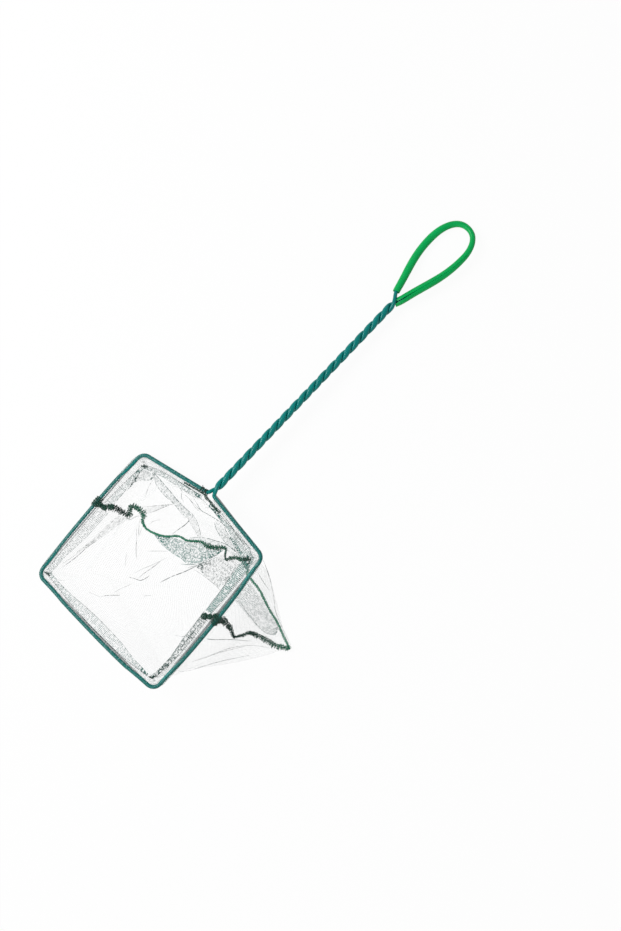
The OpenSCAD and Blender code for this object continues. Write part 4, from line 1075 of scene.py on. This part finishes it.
# %% The two netting panels
SINGLE_TONE, TURN_TONE, TURN_GREEN = 0.35, 3, 0.55
EDGE_R, EDGE_TONE, EDGE_GREEN = 0.13, 0.6, 0.4
BUNCHED_FROM = {1: 0.74, -1: 0.77}
NECK_GAP = 4.0


def hem_tones(side, line, count):
    """Tone and green of each point of a panel: its flap, its stitches and its turn are darker."""
    table, u = HEM_TABLE[side], shares_along(line)
    turned = slice(FLAP_ROWS + TOP_ROWS, FLAP_ROWS + TOP_ROWS + ARC_ROWS)
    tone, green = np.zeros((len(line), count)), np.zeros((len(line), count))
    tone[:, :FLAP_ROWS] = np.interp(u, table["tone_at"], table["tone"])[:, None]
    green[:, :FLAP_ROWS] = np.interp(u, table["tone_at"], table["green"])[:, None]
    tone[:, FLAP_ROWS:HEM_ROWS] = SINGLE_TONE
    tone[:, turned], green[:, turned] = TURN_TONE, TURN_GREEN
    return tone, green


def make_panel(name, side, line, points, trees):
    """A panel's netting, open at the neck, with its free edge, its strips and its creases."""
    shape = bmesh.new()
    across = points.shape[1]
    verts = add_grid(shape, points, *hem_tones(side, line, across))
    place = {v: divmod(i, across) for i, v in enumerate(verts)}
    gap = np.linalg.norm(line - neck_point, axis=1) < NECK_GAP
    lost = [face for face in shape.faces if side > 0
            and max(place[v][1] for v in face.verts) <= HEM_ROWS
            and any(gap[place[v][0]] for v in face.verts)]
    bmesh.ops.delete(shape, geom=lost, context="FACES")
    close, open_faces = [], []
    for face in shape.faces:
        column, row = (min(place[v][k] for v in face.verts) for k in (0, 1))
        gathered = row < FLAP_ROWS - 1 and column / len(line) > BUNCHED_FROM[side]
        (close if gathered else open_faces).append(face)
    light, dense = add_strips(shape, side, trees)
    cut_holes(shape, open_faces + light, THREAD_HALF)
    cut_holes(shape, close, BUNCHED_HALF)
    cut_holes(shape, dense, DENSE_HALF)
    add_tube(shape, rings_round(points[:, 0], EDGE_R, 4), False, EDGE_TONE, EDGE_GREEN)
    add_creases(shape, side, trees)
    return finish_piece(name, shape, netting, smooth=False)


near_line, near_cloth = panel_points(1, 168, 90)
far_line, far_cloth = panel_points(-1, 184, 96)
near_tree, far_tree = cloth_tree(near_cloth), cloth_tree(far_cloth)
handle_panel = make_panel("handle_side_netting", 1, near_line, near_cloth, [near_tree, far_tree])
far_panel = make_panel("far_side_netting", -1, far_line, far_cloth, [far_tree, near_tree])
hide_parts("handle_side_panel")
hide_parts("far_side_panel")
for panel, width, length in ((handle_panel, 0.24, 0.12), (far_panel, 0.27, 0.14)):
    area = sum(face.area for face in panel.data.polygons)
    print(panel.name, "thread area", round(area * 1e4, 1), "cm2 of", width * length * 1e4)


# %% [markdown]
# The seams are overlocked: a dark thread loops round the two raw edges and bunches them up.
# A thread wound round a bunched core gives that crinkled cord. Where it was sewn loosely it
# lies in wide open loops, and where it was pulled tight it is a thin green line. The thread
# is textured nylon, so it is half matt and its tone drifts in patches of 0.8 mm.

# %% Seams
FUZZ = 0.8
THREAD_LAY = 0.3
WINDINGS = ((1.0, 1.8), (0.75, 1.45), (0.9, 2.4))
SEAM_FLATNESS = 0.55
WRAP_TURNS, WRAP_HALF = 13, 4
SEAM_THREAD_R, BOTTOM_THREAD_R = 0.24, 0.2
random.seed(7)


def thread(name, dark, bright):
    """Thread that drifts in tone, from its dark colour to its bright one by its green."""
    made, tree, shader = material(name, {"Roughness": 0.55})
    green = node(tree, "ShaderNodeAttribute", {"attribute_name": "green"})
    shade = node(tree, "ShaderNodeHueSaturation", links={
        "Value": ranged(tree, noise(tree, FUZZ, 2.0), 0.6, 1.5),
        "Color": blend(tree, green.outputs["Fac"], dark, bright)})
    tree.links.new(shade.outputs[0], shader.inputs["Base Color"])
    return made


seam_thread = thread("green textured nylon thread", "#12352D", "#238A68")
bottom_thread = thread("bright green textured nylon thread", "#155A44", "#238A68")
dark_thread = thread("blackish green spun thread", "#1A2E2B", "#0E5A45")


def wound(line, radius, pitch, wobble, steps=9, flatness=1.0):
    """A line wound round another one, with an uneven pitch; radius for each point of the line."""
    along = run(line[:, :3])
    marks = np.linspace(0, along[-1], max(2, int(along[-1] / pitch)) * steps + 1)
    core = sampled(line, marks)[:, :3]
    radius = np.interp(marks, along, np.broadcast_to(radius, len(line)))
    go = headings(core)
    aside = unit(np.cross(UP, go))
    over = np.cross(go, aside) * flatness
    knees = range(0, len(marks) + steps, steps // 2)
    drift = np.interp(np.arange(len(marks)), knees, [random.uniform(-1, 1) for _ in knees])
    turn = 2 * math.pi * marks / pitch + drift * 0.9
    r = (radius * (1 + wobble * np.roll(drift, 3)))[:, None]
    made = core + (aside * np.cos(turn)[:, None] + over * np.sin(turn)[:, None]) * r
    made[:, 2] = np.maximum(made[:, 2], THREAD_LAY)
    return made


def shares_of(values, count):
    """The values of a line, carried over to another count of points."""
    return np.interp(np.linspace(0, 1, count), np.linspace(0, 1, len(values)), values)[:, None]


def make_seam(name, line, thread_r, finish, balls=()):
    """A seam along a line whose points carry its half width and its share of green."""
    shape = bmesh.new()
    half, green = line[:, 3], line[:, 4]
    bumps = np.clip(1.15 - 0.35 * half, 0.35, 0.8) * [random.uniform(0.7, 1.15) for _ in line]
    add_tube(shape, rings_round(line, bumps, 8), green=green[:, None])
    for reach, pitch in WINDINGS:
        winds = wound(line, np.maximum(half - thread_r, 0.3) * reach, pitch, 0.3,
                      flatness=SEAM_FLATNESS)
        add_tube(shape, rings_round(winds, thread_r, 5), green=shares_of(green, len(winds)))
    for ball in balls:
        add_tube(shape, rings_round(ball, thread_r * 1.15, 5), green=0.15)
    return finish_piece(name, shape, finish)


def wrapped(foot, way, inward):
    """The same thread wound over the hem where the seam starts at the wire."""
    first = math.radians(60)
    turn = np.linspace(first, first + 2 * math.pi * WRAP_TURNS, WRAP_TURNS * 16)
    slide = np.linspace(-WRAP_HALF, WRAP_HALF, len(turn)) + np.sin(turn * 2.3) * 0.5
    r = WIRE_R + 1.1 + np.sin(turn * 1.7) * 0.35
    return laid(foot + way * slide[:, None] + (inward * np.cos(turn)[:, None]
                + UP * np.sin(turn)[:, None]) * r[:, None])


def knot(x, y, radius, turns=11):
    """A tangle of the thread at a place of the flat hoop: a ball that is wound every way."""
    t = np.linspace(0, 1, turns * 14)
    tilt = np.sin(2 * math.pi * t * turns * 0.37 + random.random() * 6) * 1.3
    spin = 2 * math.pi * t * turns
    r = radius * (0.8 + 0.2 * np.sin(spin * 1.7))
    return laid(vec(x, y, 0) + r[:, None] * np.stack(
        [np.cos(spin) * np.cos(tilt), np.sin(spin) * np.cos(tilt), np.sin(tilt) * 0.7], -1))


left_balls = [wrapped(left_seam_foot, left_way, left_in), knot(-67.6, 59.5, 2.8),
              knot(-66.4, 55, 2.6), knot(-62.5, 51.5, 2.6)]
right_balls = [wrapped(right_seam_foot, right_way, right_in), knot(-65.4, -69, 3.2),
               knot(-68.5, -65.6, 2.4), knot(-71.6, -62.6, 3.0)]
left_seam = make_seam("left_overlock_seam", even(left_seam_line, 260), SEAM_THREAD_R,
                      seam_thread, left_balls)
right_seam = make_seam("right_overlock_seam", even(right_seam_line, 200), SEAM_THREAD_R,
                       seam_thread, right_balls)
bottom = make_seam("bottom_overlock_seam", even(bottom_line, 90), BOTTOM_THREAD_R,
                   bottom_thread)
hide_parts("left_side_seam")
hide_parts("right_side_seam")
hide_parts("bottom_seam")

# %% [markdown]
# The hem is closed by a lockstitch in a thin dark thread: short stitches in a row, each with
# a small gap where the thread dives through the net. At each corner and at the neck the same
# thread is knotted over the pinched cloth, and beside the neck it lies in a dense zigzag.

# %% Hem stitches
STITCH, STITCH_GAP, STITCH_R = 2.6, 0.7, 0.17
STITCH_RISE, STITCH_ARCH = 0.2, (-0.3, 0.1, 0.2, 0.1, -0.3)
NECK_CLEAR = 6


def add_stitches(shape, line, side):
    """Stitches along a hem, but for the neck."""
    table = HEM_TABLE[side]
    keep = 1.0 * (np.linalg.norm(line - neck_point, axis=1) > NECK_CLEAR)
    reach = np.interp(shares_along(line), table["at"], table["stitch"])[:, None]
    way = laid(line + np.cross(headings(line), UP) * side * reach
               + UP * (HEM_LAY + STITCH_RISE))
    along = run(way)
    for start in np.arange(STITCH, along[-1] - STITCH, STITCH):
        marks = np.linspace(start, start + STITCH - STITCH_GAP, len(STITCH_ARCH))
        if np.interp(marks[2], along, keep) > 0.5:
            stitch = sampled(way, marks)
            stitch[:, 2] += STITCH_ARCH
            add_tube(shape, rings_round(stitch, STITCH_R, 5))


CORNER_KNOTS = [
    [-23.2, 56.6, -21, 53.5, -20.0, 50.8], [-134.6, 53.6, -133.9, 51.1, -133.6, 48.3],
    [-133.2, -63.6, -131.1, -66, -128.4, -67.4], [-15.4, -57.6, -18, -58.8, -20.6, -58.9],
]
NECK_ZIGZAGS = [
    (1.2, [-4.1, 2.9, -5.7, 0.7, -5.5, -1.3]),
    (0.9, [-5.5, -1.9, -6.1, -6.9, -6.5, -11.7, -6.3, -15.4]),
    (0.6, [-9, 22, -7.4, 16, -5.8, 9, -4.8, 3.5]),
    (1.3, [-16, -56.6, -18.6, -55.4, -19.6, -53.2]),
]


def add_tangle(shape, numbers, rise, steps, reach, pitches, thread_r, green):
    """Thread wound over a line of the hem, once for each pitch."""
    spots = [vec(x, y, HEM_LAY + rise) for x, y in paired(numbers)]
    line = laid(even(through(spots, 6), steps))
    for pitch in pitches:
        add_tube(shape, rings_round(wound(line, reach, pitch, 0.4), thread_r, 5), green=green)


stitch_shape = bmesh.new()
for side, path in ((1, near_path), (-1, far_path)):
    add_stitches(stitch_shape, even(path, 240), side)
for numbers in CORNER_KNOTS:
    add_tangle(stitch_shape, numbers, 0.2, 12, 0.6, (0.9, 1.3), 0.16, 0.3)
for reach, numbers in NECK_ZIGZAGS:
    add_tangle(stitch_shape, numbers, 0.3, 16, reach, (0.7, 1.1, 1.6), 0.18, 0.5)
stitches = finish_piece("hem_lockstitch", stitch_shape, dark_thread)
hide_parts("hem_stitching")

# %% [markdown]
# At the neck a dark thread is wound loosely, six times, round the left leg of the hoop, beside
# the hem, and ends in a short tail that stands off the wire.

# %% Neck tacking
TACK_TURNS, TACK_FROM, TACK_TO = 6, 1.6, 8.2
TACK_R, TACK_THREAD_R = WIRE_R + 0.4, 0.26

leg = unit(near_left - left_foot)
turn = np.linspace(0, 2 * math.pi * TACK_TURNS, 120)
slide = np.linspace(TACK_FROM, TACK_TO, len(turn)) + np.sin(turn * 0.7) * 0.5
coil = left_hem_end - leg * slide[:, None] + TACK_R * (
    np.cross(UP, leg) * np.cos(turn)[:, None] + UP * np.sin(turn)[:, None])
tail = through([left_hem_end - leg * back + rise for back, rise in (
    (4, UP * 2), (4.4, vec(1.2, 1.2, 2.4)), (4.2, vec(2.4, 2.6, 2)))], 6)
tack_shape = bmesh.new()
for line in (coil, tail):
    add_tube(tack_shape, rings_round(laid(line), TACK_THREAD_R, 6), green=0.2)
tacking = finish_piece("neck_tacking_thread", tack_shape, dark_thread)
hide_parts("neck_tacking")
